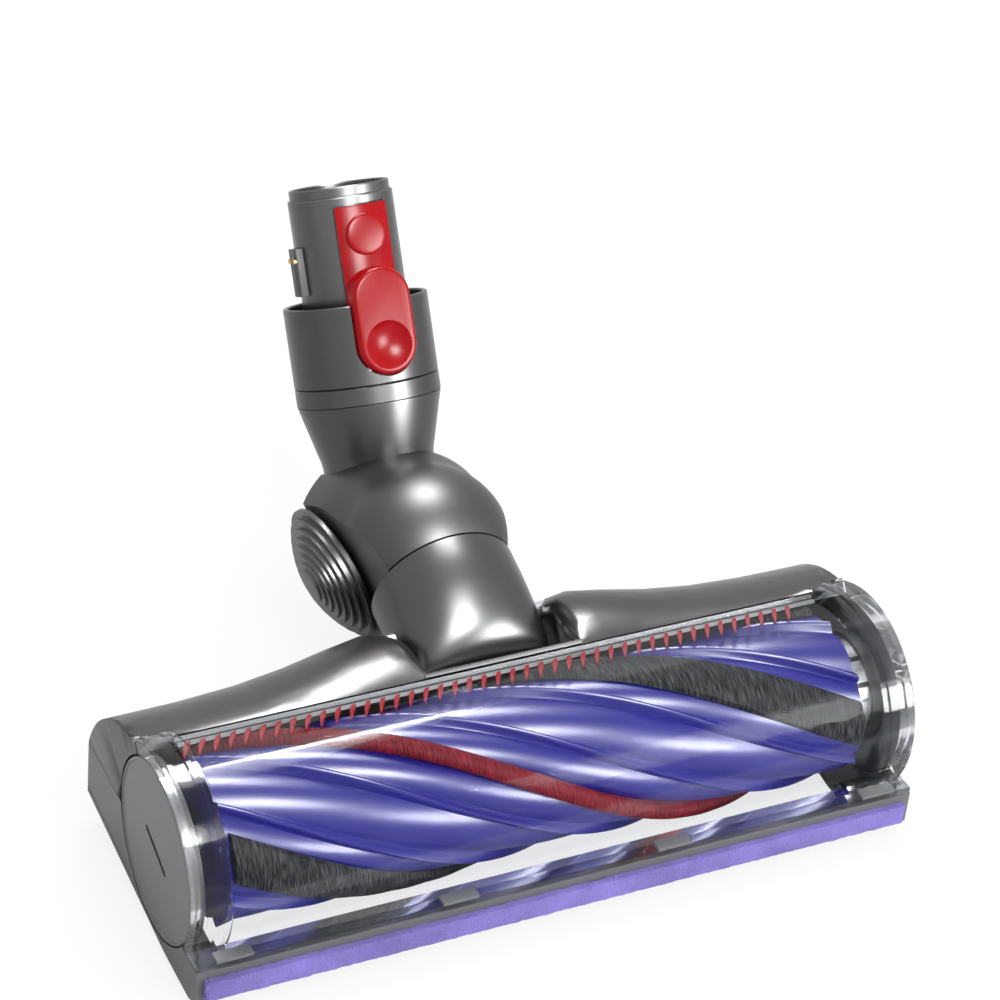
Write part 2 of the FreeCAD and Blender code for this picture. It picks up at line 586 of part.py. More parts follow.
def lower_housing():
    seam = "-rear_seam_drop - fit_gap"
    clear = " + sole_wall + fit_gap"
    tray_front = "(mouth_rear + tray_lead)"
    wall_front = "(cover_radius + chamber_wall)"
    tray = prism("tray_block", [
        ("rear_depth", seam),
        ("rear_depth", slope("rear_depth") + clear),
        (tray_front, slope(tray_front) + clear),
        (tray_front, seam),
    ], "-head_width / 2", "head_width")
    room = prism("tray_room", [
        ("rear_depth - housing_wall", "0"),
        ("rear_depth - housing_wall", slope("rear_depth") + clear + " + housing_wall"),
        (wall_front, slope(wall_front) + clear + " + housing_wall"),
        (wall_front, "0"),
    ], "-head_width / 2 + end_wall", "head_width - 2 * end_wall")
    wall = common("chamber_back",
                  rod("chamber_out", "x", "cover_radius - fit_gap",
                      "head_width - 2 * ring_width - 4 * fit_gap",
                      "-head_width / 2 + ring_width + 2 * fit_gap"),
                  sector("chamber_sector", "-2 * seam_dip", "seam_angle - 2 * seam_play"))
    ends = []
    for start in ("(-head_width / 2)", "(head_width / 2 - end_wall)"):
        ends.append(prism("end_panel", [
            ("rear_depth", seam),
            ("rear_depth", slope("rear_depth") + clear),
            ("0", slope("0") + clear),
            ("0", "-cover_front_drop - fit_gap"),
            ("cap_radius / 2", seam),
        ], start, "end_wall"))
    liner = common("saddle_liner", tray, box(
        "liner_block", "-saddle_half - housing_wall", "cover_radius", "-axis_height",
        "2 * (saddle_half + housing_wall)", "rear_depth", "axis_height"))
    posts = []
    screws = []
    for out in POSTS:
        for side in ("-", ""):
            spot = side + out
            posts.append(rod("tray_post", "z", "post_radius", "axis_height", spot, "drum_back",
                             "-axis_height"))
            screws.append(rod("tray_screw", "z", "screw_radius", "case_screw", spot, "drum_back",
                              "case_screw_low"))
            screws.append(rod("tray_sink", "z", "head_radius + fit_gap / 3",
                              "axis_height + case_screw_low + screw_head", spot,
                              "drum_back", "-axis_height"))
    for spot, back in BOARD_POSTS:
        posts.append(rod("board_post", "z", "post_radius / 2", "axis_height + board_up", spot, back,
                         "-axis_height"))
    for spot, back in SOLE_SCREWS:
        posts.append(rod("sole_post", "z", "post_radius",
                         "axis_height + sole_screw_low + sole_screw + post_spare", spot, back,
                         "-axis_height"))
        screws.append(rod("sole_bore", "z", "screw_radius", "sole_screw", spot, back,
                          "sole_screw_low"))
    post = common("tray_posts", fuse("tray_post_set", *posts), tray)
    room_left = cut("tray_open", fuse("tray_forms", tray, wall), room)
    solid = fuse("tray_solid", room_left, liner, post, *ends)
    drive_wall = rod("drive_wall", "x", "cap_radius", "end_wall", "head_width / 2 - end_wall")
    chamber = rod("brush_room", "x", "cover_radius - fit_gap - chamber_wall",
                  "head_width - 2 * end_wall", "-head_width / 2 + end_wall")
    cap_hole = rod("cap_hole", "x", "cap_radius + fit_gap", "head_width", "-head_width")
    drum_room = rod("tray_drum_room", "x", "drum_radius + drum_gap", "2 * saddle_half",
                    "-saddle_half", "drum_back", "drum_up")
    tube_room = box("tube_room", "-saddle_half", "cover_radius + chamber_wall",
                    "-tube_room_drop", "2 * saddle_half", "rear_depth", "axis_height")
    duct = box("duct_window", "-duct_half", "mouth_rear", "-duct_half / 3", "2 * duct_half",
               "mouth_rear", "duct_half")
    tray_cut = cut("tray_whole", solid, chamber, cap_hole, drum_room, tube_room, duct, *screws)
    return keep("lower_housing", fuse("lower_whole", tray_cut, drive_wall), "head")


BOARD_POSTS = [("(board_start + board_hole_in)", "(board_back + board_hole_in)"),
               ("(board_start + board_length - board_hole_in)",
                "(board_back + board_width - board_hole_in)")]
SOLE_SCREWS = [("-sole_screw_out", "(cover_radius + 2 * post_radius)"),
               ("sole_screw_out", "(cover_radius + 2 * post_radius)"),
               ("-sole_screw_out / 3", "(cover_radius + 2 * post_radius)"),
               ("sole_screw_out / 3", "(cover_radius + 2 * post_radius)")]


def screws(label, spots, low, length, sunk):
    """A set of alike screws, standing head down."""
    pieces = []
    for out, back in spots:
        pieces.append(rod("screw_shank", "z", "screw_radius", length, out, back, low))
        pieces.append(rod("screw_head_disc", "z", "head_radius", "screw_head", out, back, low))
        pieces.append(rod("screw_drive", "z", "screw_radius / 2", "screw_head / 2", out, back,
                          low))
    drives = [form for form in pieces if form.Label.startswith("screw_drive")]
    solid = fuse(label + "_forms", *[form for form in pieces if form not in drives])
    return keep(label, cut(label + "_whole", solid, *drives), "head")


def case_screws():
    spots = [(side + out, "drum_back") for out in POSTS for side in ("-", "")]
    return screws("case_screws", spots, "case_screw_low", "case_screw", "0")


def sole_screws():
    return screws("sole_screws", SOLE_SCREWS, "sole_screw_low", "sole_screw", "0")


CHIP_SHARES = (0.2, 0.6)


def control_board():
    board = box("board_sheet", "board_start", "board_back", "board_up", "board_length",
                "board_width", "board_thick")
    chips = [box("board_chip", "board_start + board_length * %.1f" % share,
                 "board_back + chip_in", "board_up + board_thick", "board_width / 2",
                 "board_width / 3", "chip_height") for share in CHIP_SHARES]
    return keep("control_board", fuse("board_whole", board, *chips), "head")


# Sole plate: sloping underside with the suction mouth, a front beam and four pockets
# for the small rollers.
def sole_plate():
    plate = prism("sole_block", [
        ("rear_depth", "-sole_rear_drop + sole_wall"),
        ("rear_depth", "-sole_rear_drop"),
        ("-sole_break", "-sole_drop"),
        ("-sole_front + sole_chamfer", "-sole_drop"),
        ("-sole_front", "-sole_drop + sole_chamfer / 2"),
        ("-sole_front", "-cover_front_drop - fit_gap"),
        ("-sole_front + beam_depth - fit_gap", "-cover_front_drop - fit_gap"),
        ("-sole_front + beam_depth - fit_gap", "-sole_drop + sole_wall"),
        ("-sole_break", "-sole_drop + sole_wall"),
    ], "-head_width / 2", "head_width")
    mouth = box("mouth", "-mouth_half", "-mouth_front", "-axis_height",
                "2 * mouth_half", "mouth_front + mouth_rear", "axis_height")
    ears = [prism("sole_fence", [
        ("-sole_front + beam_depth / 2", "-sole_drop + sole_wall / 2"),
        ("-sole_break", "-sole_drop + sole_wall / 2"),
        ("-sole_break", "-cover_front_drop - fit_gap"),
        ("-sole_front + beam_depth / 2", "-cover_front_drop - fit_gap"),
    ], start, "end_wall") for start in ("(-head_width / 2)", "(head_width / 2 - end_wall)")]
    pockets = []
    for side in (-1, 1):
        for spot in SMALL_ROLLERS.values():
            middle = "%d * roller_small_out" % side
            edge = middle + " - roller_small_width / 2"
            pockets.append(box("roller_pocket", edge + " - tyre_side",
                               spot + " - roller_small_radius - tyre_gap", "-axis_height",
                               "roller_small_width + 2 * tyre_side",
                               "2 * (roller_small_radius + tyre_gap)", "pocket_height"))
            pockets.append(rod("roller_pin_hole", "x", "roller_pin_radius",
                               "roller_small_width + 2 * pin_lap", edge + " - pin_lap",
                               spot, "-axis_height + roller_small_radius"))
            ears.append(box("roller_ear", edge + " - ear_side", spot + " - ear_half",
                            "-axis_height + ear_low", "roller_small_width + 2 * ear_side",
                            "2 * ear_half", "ear_height"))
    for spot, back in SOLE_SCREWS:
        pockets.append(rod("sole_screw_sink", "z", "head_radius + fit_gap / 3",
                           "axis_height + sole_screw_low + screw_head", spot, back,
                           "-axis_height"))
        pockets.append(rod("sole_screw_hole", "z", "screw_radius", "axis_height", spot, back,
                           "-axis_height"))
    room = rod("sole_cap_room", "x", "cap_radius + fit_gap", WIDE, "-head_width")
    return keep("sole_plate", cut("sole_whole", fuse("sole_forms", plate, *ears), mouth, room,
                                  *pockets), "head")


SMALL_ROLLERS = {"roller_front": "(-mouth_front + roller_front_in)",
                 "roller_rear": "(mouth_rear + roller_rear_in)"}


def front_felt():
    return keep("front_felt", box(
        "felt_block", "-head_width / 2 + felt_inset", "-sole_front - felt_thick",
        "-felt_top_drop - felt_height", "head_width - 2 * felt_inset", "felt_thick",
        "felt_height"), "head")


def end_cap():
    disc = rod("cap_disc", "x", "cap_radius", "cap_thick", "-head_width / 2")
    boss = rod("cap_boss", "x", "bearing_radius + end_wall", "cap_boss",
               "-head_width / 2 + cap_thick / 2")
    slot = box("cap_slot", "-head_width / 2 - slot_depth", "-slot_width / 2",
               "-slot_length / 2", "2 * slot_depth", "slot_width", "slot_length")
    slot.Placement.Rotation = Rotation(Vector(1, 0, 0), 5)
    bind(slot, ".Placement.Rotation.Angle", "slot_angle")
    bore = rod("cap_bore", "x", "bearing_radius", "head_width", "-head_width / 2 + bearing_in")
    whole = cut("cap_whole", fuse("cap_forms", disc, boss), slot, bore)
    return keep("end_cap", whole, "head")


def end_cap_seal():
    ring = rod("seal_out", "x", "cap_radius - fit_gap", "chamber_wall",
               "-head_width / 2 + cap_thick")
    hole = rod("seal_in", "x", "cap_radius - 2 * chamber_wall", WIDE, "-head_width")
    return keep("end_cap_seal", cut("seal_whole", ring, hole), "head")


def end_bearing():
    ring = rod("bearing_ring", "x", "bearing_radius", "bearing_width",
               "-head_width / 2 + bearing_in")
    hole = rod("bearing_hole", "x", "shaft_radius + run_fit", WIDE, "-head_width")
    return keep("end_bearing", cut("bearing_whole", ring, hole), "head")


# Brush roller: a tube on ribs that wind along it, with two black bristle strips and a
# red one between them, a plug on the cap's shaft and a drive hub over the motor.
def winding(name, width, inner, outer, turn, length, start):
    """A strip wound round the roller, swept along a helix about X."""
    path = doc.addObject("Part::Helix", name + "_path")
    bind(path, "Pitch", "roller_pitch")
    bind(path, "Height", length)
    bind(path, "Radius", inner)
    section = outline(name + "_section", Rotation(), [
        (inner, "-" + width + " / 2"), (outer + " - crest_bevel", "-" + width + " / 2"),
        (outer, "-" + width + " / 5"), (outer, width + " / 5"),
        (outer + " - crest_bevel", width + " / 2"), (inner, width + " / 2")])
    strip = doc.addObject("Part::Sweep", name)
    strip.Sections = [section]
    strip.Spine = (path, [])
    strip.Solid = True
    strip.Frenet = True
    strip.Placement.Rotation = TURNS["x"].multiply(Rotation(Vector(0, 0, 1), turn))
    return put(strip, start)


BLACK_TURNS = (2, 242)
RED_TURNS = (122,)
RIB_TURNS = (38, 86, 158, 206, 278, 326)


def brush_core():
    length = "(2 * roller_half)"
    tube = rod("core_tube", "x", "roller_radius", length, "-roller_half")
    ribs = [winding("core_rib", "rib_width", "(roller_radius - rib_root)", "rib_radius", turn, length,
                    "-roller_half") for turn in RIB_TURNS]
    bore = rod("core_bore", "x", "roller_bore", WIDE, "-roller_half + core_solid")
    seat = rod("core_seat", "x", "bearing_radius + plug_wall", WIDE, "-head_width")
    return keep("brush_core", cut("core_whole", fuse("core_forms", tube, *ribs), bore, seat),
                "head")


def bristles(label, turns, width):
    strips = [winding(label + "_strip", width, "(roller_radius - rib_root)", "bristle_radius", turn,
                      "(2 * roller_half - 2 * strip_end)", "-roller_half + strip_end") for turn in turns]
    whole = strips[0] if len(strips) == 1 else fuse(label + "_set", *strips)
    return keep(label, cut(label + "_whole", whole, rod(label + "_seat", "x", "roller_radius",
                                                        WIDE, "-head_width")), "head")


def brush_plug():
    plug = rod("plug_disc", "x", "bearing_radius + plug_wall", "core_solid / 2", "-roller_half")
    shaft_start = "(-head_width / 2 + bearing_in)"
    hole = rod("plug_hole", "x", "shaft_radius", WIDE, "-head_width")
    keep("brush_plug", cut("plug_whole", plug, hole), "head")
    shaft = rod("stub_rod", "x", "shaft_radius",
                "head_width / 2 - bearing_in - roller_half + core_solid / 2", shaft_start)
    return keep("stub_shaft", shaft, "head")


# Drive: motor and gearbox stand still inside the roller, held from the right end; the
# shaft turns the hub, which carries the roller.
def drive():
    inner = "(head_width / 2 - end_wall)"
    can = "(head_width / 2 - end_wall - mount_thick - motor_length)"
    box_start = "(" + can + " - gearbox_length)"
    hub_start = "(" + box_start + " - hub_gap - hub_length)"
    keep("motor_mount", cut("mount_whole",
                            rod("mount_plate", "x", "motor_radius + chamber_wall", "mount_thick",
                                inner + " - mount_thick"),
                            rod("mount_hole", "x", "bearing_radius", WIDE, "-head_width")), "head")
    keep("motor_case", rod("motor_can", "x", "motor_radius", "motor_length", can), "head")
    keep("gearbox_case", cut("gearbox_whole",
                             rod("gearbox_can", "x", "motor_radius - fit_gap", "gearbox_length",
                                 box_start),
                             rod("gearbox_bore", "x", "shaft_radius + run_fit",
                                 "gearbox_length / 2 + shaft_play",
                                 box_start + " - shaft_play")), "head")
    hub_hole = rod("hub_hole", "x", "shaft_radius", WIDE, "-head_width")
    keep("drive_hub", cut("hub_whole", rod("hub_disc", "x", "roller_bore", "hub_length",
                                           hub_start), hub_hole), "head")
    keep("motor_shaft", rod("motor_shaft_rod", "x", "shaft_radius",
                            "hub_length + hub_gap + gearbox_length / 2 - shaft_play", hub_start), "head")
    keep("drive_end_bearing", cut("drive_bearing_whole",
                                  rod("drive_bearing_out", "x", "roller_bore - run_fit",
                                      "bearing_width", "roller_half - 2 * bearing_width"),
                                  rod("drive_bearing_in", "x", "motor_radius", WIDE,
                                      "-head_width")), "head")


# Comb: a thin rail under the rear cover's front edge with a row of vanes that strip hair
# from the bristles.
def comb():
    ring = cut("comb_ring", rod("comb_out", "x", "cover_radius - cover_wall - fit_gap / 3", WIDE,
                                "-head_width"),
               rod("comb_in", "x", "bristle_radius + fit_gap", WIDE, "-head_width"))
    rail = common("comb_rail",
                  rod("comb_band", "x", "ring_radius", "2 * comb_half", "-comb_half"),
                  sector("comb_sector", "seam_angle - comb_angle", "seam_angle + 2 * seam_play"))
    teeth = []
    count = int(2 * size("comb_half") / size("tooth_pitch"))
    for i in range(count):
        tooth = box("tooth", "-tooth_thick / 2", "-tooth_length / 2", "0",
                    "tooth_thick", "tooth_length", "cover_radius")
        leaning = doc.addObject("Part::Refine", "leaning_tooth")
        leaning.Source = tooth
        leaning.Placement.Rotation = Rotation(Vector(0, 0, 1), 5)
        bind(leaning, ".Placement.Rotation.Angle", "tooth_lean")
        teeth.append(put(leaning, "(%s) * tooth_pitch" % (i - (count - 1) / 2)))
    row = fuse("tooth_row", *teeth)
    row.Placement.Rotation = Rotation(Vector(-1, 0, 0), 5)
    bind(row, ".Placement.Rotation.Angle", "90 - seam_angle - tooth_ahead")
    return keep("hair_comb", common("comb_whole", ring, fuse("comb_forms", rail, row)), "head")


# Neck tube: a drum across the housing's saddle that widens into a round tube.
def tube_side(name, inset):
    """Side view of the neck tube: a drum that widens to the swivel seam."""
    wedge = prism(name + "_wedge", [
        ("0", "-drum_radius + " + inset),
        ("tube_length", "-tube_radius + " + inset),
        ("tube_length", "tube_radius - " + inset),
        ("0", "drum_radius - " + inset),
    ], "-head_width", WIDE)
    return fuse(name, wedge, rod(name + "_drum", "x", "drum_radius - " + inset, WIDE,
                                 "-head_width"))


def tube_round(name, inset, length):
    return rod(name, "y", "tube_radius - " + inset, "drum_radius + " + length, "0",
               "-drum_radius")


def neck_tube():
    solid = common("tube_solid", tube_side("tube_side", "0"),
                   tube_round("tube_round", "0", "tube_length"))
    hollow = common("tube_hollow", tube_side("tube_inner_side", "tube_wall"),
                    tube_round("tube_inner_round", "tube_wall", "2 * tube_length"))
    window = box("drum_window", "-duct_half", "-2 * drum_radius", "-drum_radius + tube_wall",
                 "2 * duct_half", "2 * drum_radius - tube_wall", "drum_radius - tube_wall")
    bosses = common("pin_bosses", solid, fuse("pin_boss_pair", *[
        rod("pin_boss", "x", "pin_radius + tube_wall", "2 * tube_wall", spot)
        for spot in ("drum_pin_start + boss_gap",
                     "-drum_pin_start - boss_gap - 2 * tube_wall")]))
    holes = rod("pin_holes", "x", "pin_radius + run_fit", WIDE, "-head_width")
    bore = rod("spigot_bore", "y", "tube_radius - tube_wall", "tube_length", "0",
               "tube_length - spigot_length - fit_gap")
    shell = fuse("tube_walls", cut("tube_shell", solid, hollow), bosses)
    return keep("neck_tube", cut("tube_whole", shell, window, holes, bore), "tube")


def pivot_pins():
    for side, label in (("-", "pivot_pin_left"), ("", "pivot_pin_right")):
        ends = "(" + side + "drum_pin_start" + (" - pin_length)" if side else ")")
        head = "(" + side + "drum_pin_start" + (")" if side else " - pin_head)")
        keep(label, fuse(label + "_whole", rod(label + "_rod", "x", "pin_radius", "pin_length", ends),
                         rod(label + "_head", "x", "pin_radius + pin_lip", "pin_head", head)), "tube")


def air_hose():
    """The hose end inside the neck tube: a collar against its wall and a ribbed skin."""
    flange = common("hose_flange", tube_side("hose_side", "tube_wall"),
                    rod("hose_band", "y", "tube_radius - tube_wall", "hose_flange", "0",
                        "hose_start"))
    ribs = [rod("hose_rib", "y", "hose_radius + hose_rib", "hose_wall", "0",
                "hose_start - %d * hose_rib_step" % i) for i in range(1, 4)]
    skin = rod("hose_out", "y", "hose_radius", "hose_length", "0",
               "hose_start + hose_flange - hose_length")
    bore = rod("hose_in", "y", "hose_radius - hose_wall", WIDE, "0", "-head_width")
    return keep("air_hose", cut("hose_whole", fuse("hose_forms", flange, skin, *ribs), bore),
                "tube")


# Yoke: a dome that turns on the tube. Two tilted flat sides face the wheels; behind, its
# cheeks stand either side of the upper neck and carry the axles and the neck's pins.
def wheel_place(obj, side, out):
    """Turn a form from Z to a wheel's axis and set it so far out from the wheel's base."""
    obj.Placement.Rotation = Rotation(Vector(0, side, 0), 5)
    bind(obj, ".Placement.Rotation.Angle", "90 + wheel_camber")
    bind(obj, ".Placement.Base.x", "%d * (wheel_offset + (%s) * cos(wheel_camber))" % (side, out))
    bind(obj, ".Placement.Base.z", "-(%s) * sin(wheel_camber)" % out)
    return obj


def on_wheel(name, side, radius, length, out):
    """A disc or pin about a wheel's axis."""
    obj = doc.addObject("Part::Cylinder", name)
    bind(obj, "Radius", radius)
    bind(obj, "Height", length)
    return wheel_place(obj, side, out)


def between_wheels(name, form, inset):
    """Keep the part of a form that lies between the two tilted wheel sides."""
    return cut(name, form, *[on_wheel(name + "_side", side, "4 * dome_radius", "4 * dome_radius",
                                      "-" + inset) for side in (-1, 1)])


def on_tube(name, radius, length, reach):
    """A disc or pin about the swivel axis, drawn in the upper neck's frame."""
    obj = doc.addObject("Part::Cylinder", name)
    bind(obj, "Radius", radius)
    bind(obj, "Height", length)
    obj.Placement.Rotation = Rotation(Vector(-1, 0, 0), 5)
    bind(obj, ".Placement.Rotation.Angle", "90 - neck_rise - neck_lean")
    back = "(" + reach + " - " + DOME_REACH + ")"
    bind(obj, ".Placement.Base.y", "-dome_back + " + back + " * cos(neck_rise + neck_lean)")
    bind(obj, ".Placement.Base.z", "dome_up + " + back + " * sin(neck_rise + neck_lean)")
    return obj


def dome(name, inset):
    """The ball over the tube, flaring to the wider cheeks beside the neck."""
    flare = doc.addObject("Part::Cone", name + "_flare")
    flare.Placement.Rotation = TURNS["y"]
    bind(flare, "Radius1", "dome_radius - " + inset)
    bind(flare, "Radius2", "cheek_radius - " + inset)
    bind(flare, "Height", "dome_back - neck_radius / 2")
    put(flare, "0", "-dome_back", "dome_up")
    return fuse(name, ball(name + "_ball", "dome_radius - " + inset, "0", "-dome_back", "dome_up"),
                flare,
                rod(name + "_barrel", "y", "cheek_radius - " + inset,
                    "neck_radius / 2 + horn_length", "0", "-neck_radius / 2", "dome_up"))


def yoke():
    outer = between_wheels("yoke_outside", dome("dome_outside", "0"), "wheel_gap")
    inner = between_wheels("yoke_inside", fuse("yoke_room", dome("dome_inside", "dome_wall"),
                           rod("dome_rear", "y", "dome_radius - dome_wall", "dome_radius", "0",
                               "0", "dome_up")), "(wheel_gap + dome_wall)")
    slot = between_wheels("neck_slot", fuse(
        "slot_forms", box("slot_block", "-neck_radius - 3 * fit_gap", "0", "-2 * dome_radius",
                          "2 * (neck_radius + 3 * fit_gap)", "4 * dome_radius",
                          "4 * dome_radius"),
        turned("slot_round", [
            ("0", "-2 * dome_radius"), ("neck_radius + 3 * fit_gap", "-2 * dome_radius"),
            ("neck_radius + 3 * fit_gap", "cone_start - fit_gap"),
            ("collar_radius + 3 * fit_gap", "cone_end - fit_gap"), ("0", "cone_end")])),
        "(wheel_gap + dome_wall)")
    shell = cut("yoke_shell", outer, inner, slot)
    bosses = between_wheels("pivot_bosses", fuse("boss_pair", *[
        rod("pivot_boss", "x", "boss_radius", "neck_radius - ear_out", spot)
        for spot in ("ear_out + fit_gap", "-neck_radius - fit_gap")]), "wheel_gap")
    seam = on_tube("swivel_cut", "4 * dome_radius", "4 * dome_radius",
                   "(tube_length + fit_gap - 4 * dome_radius)")
    face = on_tube("swivel_face", "tube_radius - fit_gap", "dome_wall", "(tube_length + fit_gap)")
    spigot = on_tube("spigot", "tube_radius - tube_wall - run_fit", "spigot_length + spigot_lap",
                     "(tube_length - spigot_length)")
    bore = on_tube("spigot_hollow", "spigot_bore", "2 * dome_radius",
                   "(tube_length - dome_radius)")
    body = cut("yoke_body", fuse("yoke_forms", shell, bosses), seam)
    holes = [on_wheel("axle_hole", side, "axle_radius", "axle_inside", "-axle_inside")
             for side in (-1, 1)]
    holes += [rod("neck_pin_hole", "x", "axle_radius", "neck_pin_length", spot)
              for spot in ("neck_pin_start", "-neck_pin_start - neck_pin_length")]
    return keep("yoke", cut("yoke_whole", fuse("yoke_solid", body, face, spigot), bore, *holes),
                "neck")


def swivel_ring():
    """Ring snapped behind the tube's shoulder on the spigot's end."""
    ring = on_tube("ring_outside", "spigot_bore + snap_lip", "snap_thick",
                   "(tube_length - spigot_length - snap_thick)")
    hole = on_tube("ring_inside", "spigot_bore - snap_lip", "4 * dome_radius",
                   "(tube_length - 2 * dome_radius)")
    return keep("swivel_ring", cut("swivel_ring_whole", ring, hole), "neck")


def wheel(side, word):
    label = "wheel_" + word
    steps = [("0", "1"), ("0.3", "0.98"), ("0.32", "0.9"), ("0.42", "0.88"), ("0.44", "0.8"),
             ("0.54", "0.77"), ("0.56", "0.68"), ("0.66", "0.64"), ("0.68", "0.54"),
             ("0.78", "0.49"), ("0.8", "0.38"), ("0.89", "0.32"), ("0.91", "0.2"), ("1", "0.12"),
             ("1", "0"), ("0", "0")]
    form = turned(label + "_form", [("wheel_radius * " + out, "wheel_depth * " + up)
                                    for out, up in steps])
    wheel_place(form, side, "0")
    bore = on_wheel(label + "_bore", side, "axle_radius + run_fit", "axle_outside + 2 * fit_gap",
                    "-fit_gap")
    seat = on_wheel(label + "_seat", side, "axle_radius + axle_lip + clip_room",
                    "clip_thick + clip_room", "axle_outside - clip_thick - clip_room / 2")
    return keep(label, cut(label + "_whole", form, bore, seat), "neck")


def axle(side, word):
    label = "wheel_axle_" + word
    return keep(label, fuse(label + "_whole",
                            on_wheel(label + "_rod", side, "axle_radius",
                                     "axle_inside + axle_outside", "-axle_inside"),
                            on_wheel(label + "_clip", side, "axle_radius + axle_lip",
                                     "clip_thick", "axle_outside - clip_thick")), "neck")


# Upper neck: a flared shell scooped to clear the dome, with two ears on the pivot, a
# ring, a collar with a slot for the latch, and the connector tube.
def neck_cone():
    shell = turned("cone_form", [
        ("neck_radius - collar_wall", "neck_base"), ("neck_radius", "neck_base"),
        ("neck_radius", "cone_start"), ("collar_radius", "cone_end"),
        ("collar_radius - 2 * collar_wall", "cone_end"),
        ("neck_radius - collar_wall", "cone_start")])
    ears = []
    for start in ("-ear_out", "ear_out - ear_thick"):
        ears.append(box("ear_plate", start, "-ear_radius", "0", "ear_thick", "2 * ear_radius",
                        "neck_base + 2 * ear_lap"))
        ears.append(rod("ear_round", "x", "ear_radius", "ear_thick", start))
        ears.append(box("ear_root", start, "-neck_radius", "neck_base + ear_lap", "ear_thick",
                        "2 * neck_radius", "ear_radius"))
    round_limit = rod("ear_limit", "z", "neck_radius - ear_limit", "2 * neck_radius", "0", "0",
                      "-neck_radius")
    holes = rod("ear_holes", "x", "axle_radius + run_fit", WIDE, "-head_width")
    return keep("neck_cone", cut("cone_whole", fuse("cone_forms", shell, common(
        "cone_ears", fuse("ear_set", *ears), round_limit)), holes), "neck")


def neck_pins():
    for side, label in (("-", "neck_pin_left"), ("", "neck_pin_right")):
        start = "(" + side + "neck_pin_start" + (" - neck_pin_length)" if side else ")")
        head = "(" + side + "neck_pin_start" + (")" if side else " - clip_thick)")
        keep(label, fuse(label + "_whole",
                         rod(label + "_rod", "x", "axle_radius", "neck_pin_length", start),
                         rod(label + "_head", "x", "axle_radius + pin_lip", "clip_thick", head)), "neck")


def neck_ring():
    return keep("neck_ring", turned("ring_form", [
        ("collar_radius - 2 * collar_wall", "cone_end"), ("collar_radius", "cone_end"),
        ("collar_radius", FLOOR), ("connector_bore", FLOOR),
        ("connector_bore", FLOOR + " - collar_floor"),
        ("collar_radius - 2 * collar_wall", FLOOR + " - collar_floor")]), "neck")


def collar():
    cup = turned("collar_form", [
        ("connector_radius", FLOOR), ("collar_radius", FLOOR),
        ("collar_radius", COLLAR_TOP), ("collar_radius - collar_wall", COLLAR_TOP),
        ("collar_radius - collar_wall", FLOOR + " + collar_floor"),
        ("connector_radius", FLOOR + " + collar_floor")])
    half = "(button_width / 2 + latch_gap)"
    slot_low = "(" + FLOOR + " + latch_foot + button_width / 2)"
    slot = fuse("collar_slot",
                box("slot_box", "-" + half, "-2 * collar_radius", slot_low, "2 * " + half,
                    "2 * collar_radius", "2 * collar_height"),
                rod("slot_end", "y", half, "2 * collar_radius", "0", "-2 * collar_radius",
                    slot_low))
    hole = rod("latch_pin_bore", "x", "latch_pin_radius", WIDE, "-head_width", "-latch_pin_front",
               LATCH_PIN_Z)
    return keep("collar", cut("collar_whole", cup, slot, hole), "neck")


def bowed(name, inner, outer, half, low, height):
    """A strip in front that follows the round of the connector tube."""
    ring = cut(name + "_ring", rod(name + "_out", "z", outer, height, "0", "0", low),
               rod(name + "_in", "z", inner, height, "0", "0", low))
    return common(name, ring, box(name + "_band", "-" + half, "-3 * connector_radius", low,
                                  "2 * " + half, "3 * connector_radius", height))


def connector_tube():
    tube = turned("connector_form", [
        ("connector_bore", FLOOR), ("connector_radius", FLOOR),
        ("connector_radius", NECK_TOP + " - lip_height"), ("lip_radius", NECK_TOP + " - lip_height"),
        ("lip_radius", NECK_TOP), ("connector_bore", NECK_TOP)])
    pocket = bowed("latch_pocket", "connector_bore + pocket_wall", "2 * connector_radius",
                   "(latch_width / 2 + latch_gap)", FLOOR + " + latch_foot",
                   "latch_length + 2 * latch_gap")
    key = box("key_pocket", "-2 * connector_radius", "-key_width / 2", KEY_Z,
              "connector_radius + key_depth", "key_width", "key_length")
    return keep("connector_tube", cut("connector_whole", tube, pocket, key), "neck")


LATCH_PIN_Z = "(" + FLOOR + " + latch_foot + latch_pin_up)"
KEY_Z = "(" + COLLAR_TOP + " + key_up)"


def contact_block():
    block = box("key_block", "-connector_radius - key_proud", "-key_width / 2", KEY_Z,
                "key_proud + key_depth - key_seat", "key_width", "key_length")
    rail = box("key_rail", "-connector_radius - key_proud - rail_proud", "-key_width / 6", KEY_Z,
               "2 * rail_proud", "key_width / 3", "key_length")
    pins = contact_pin_rods()
    return keep("contact_block", cut("key_whole", fuse("key_forms", block, rail), *pins), "neck")


def contact_pin_rods():
    return [rod("contact_rod", "x", "contact_radius", "contact_length",
                "-connector_radius - key_proud - rail_proud - contact_proud", spot,
                KEY_Z + " + key_length * 3 / 4") for spot in ("-key_width / 3", "key_width / 3")]


def contact_pins():
    return keep("contact_pins", fuse("contact_set", *contact_pin_rods()), "neck")


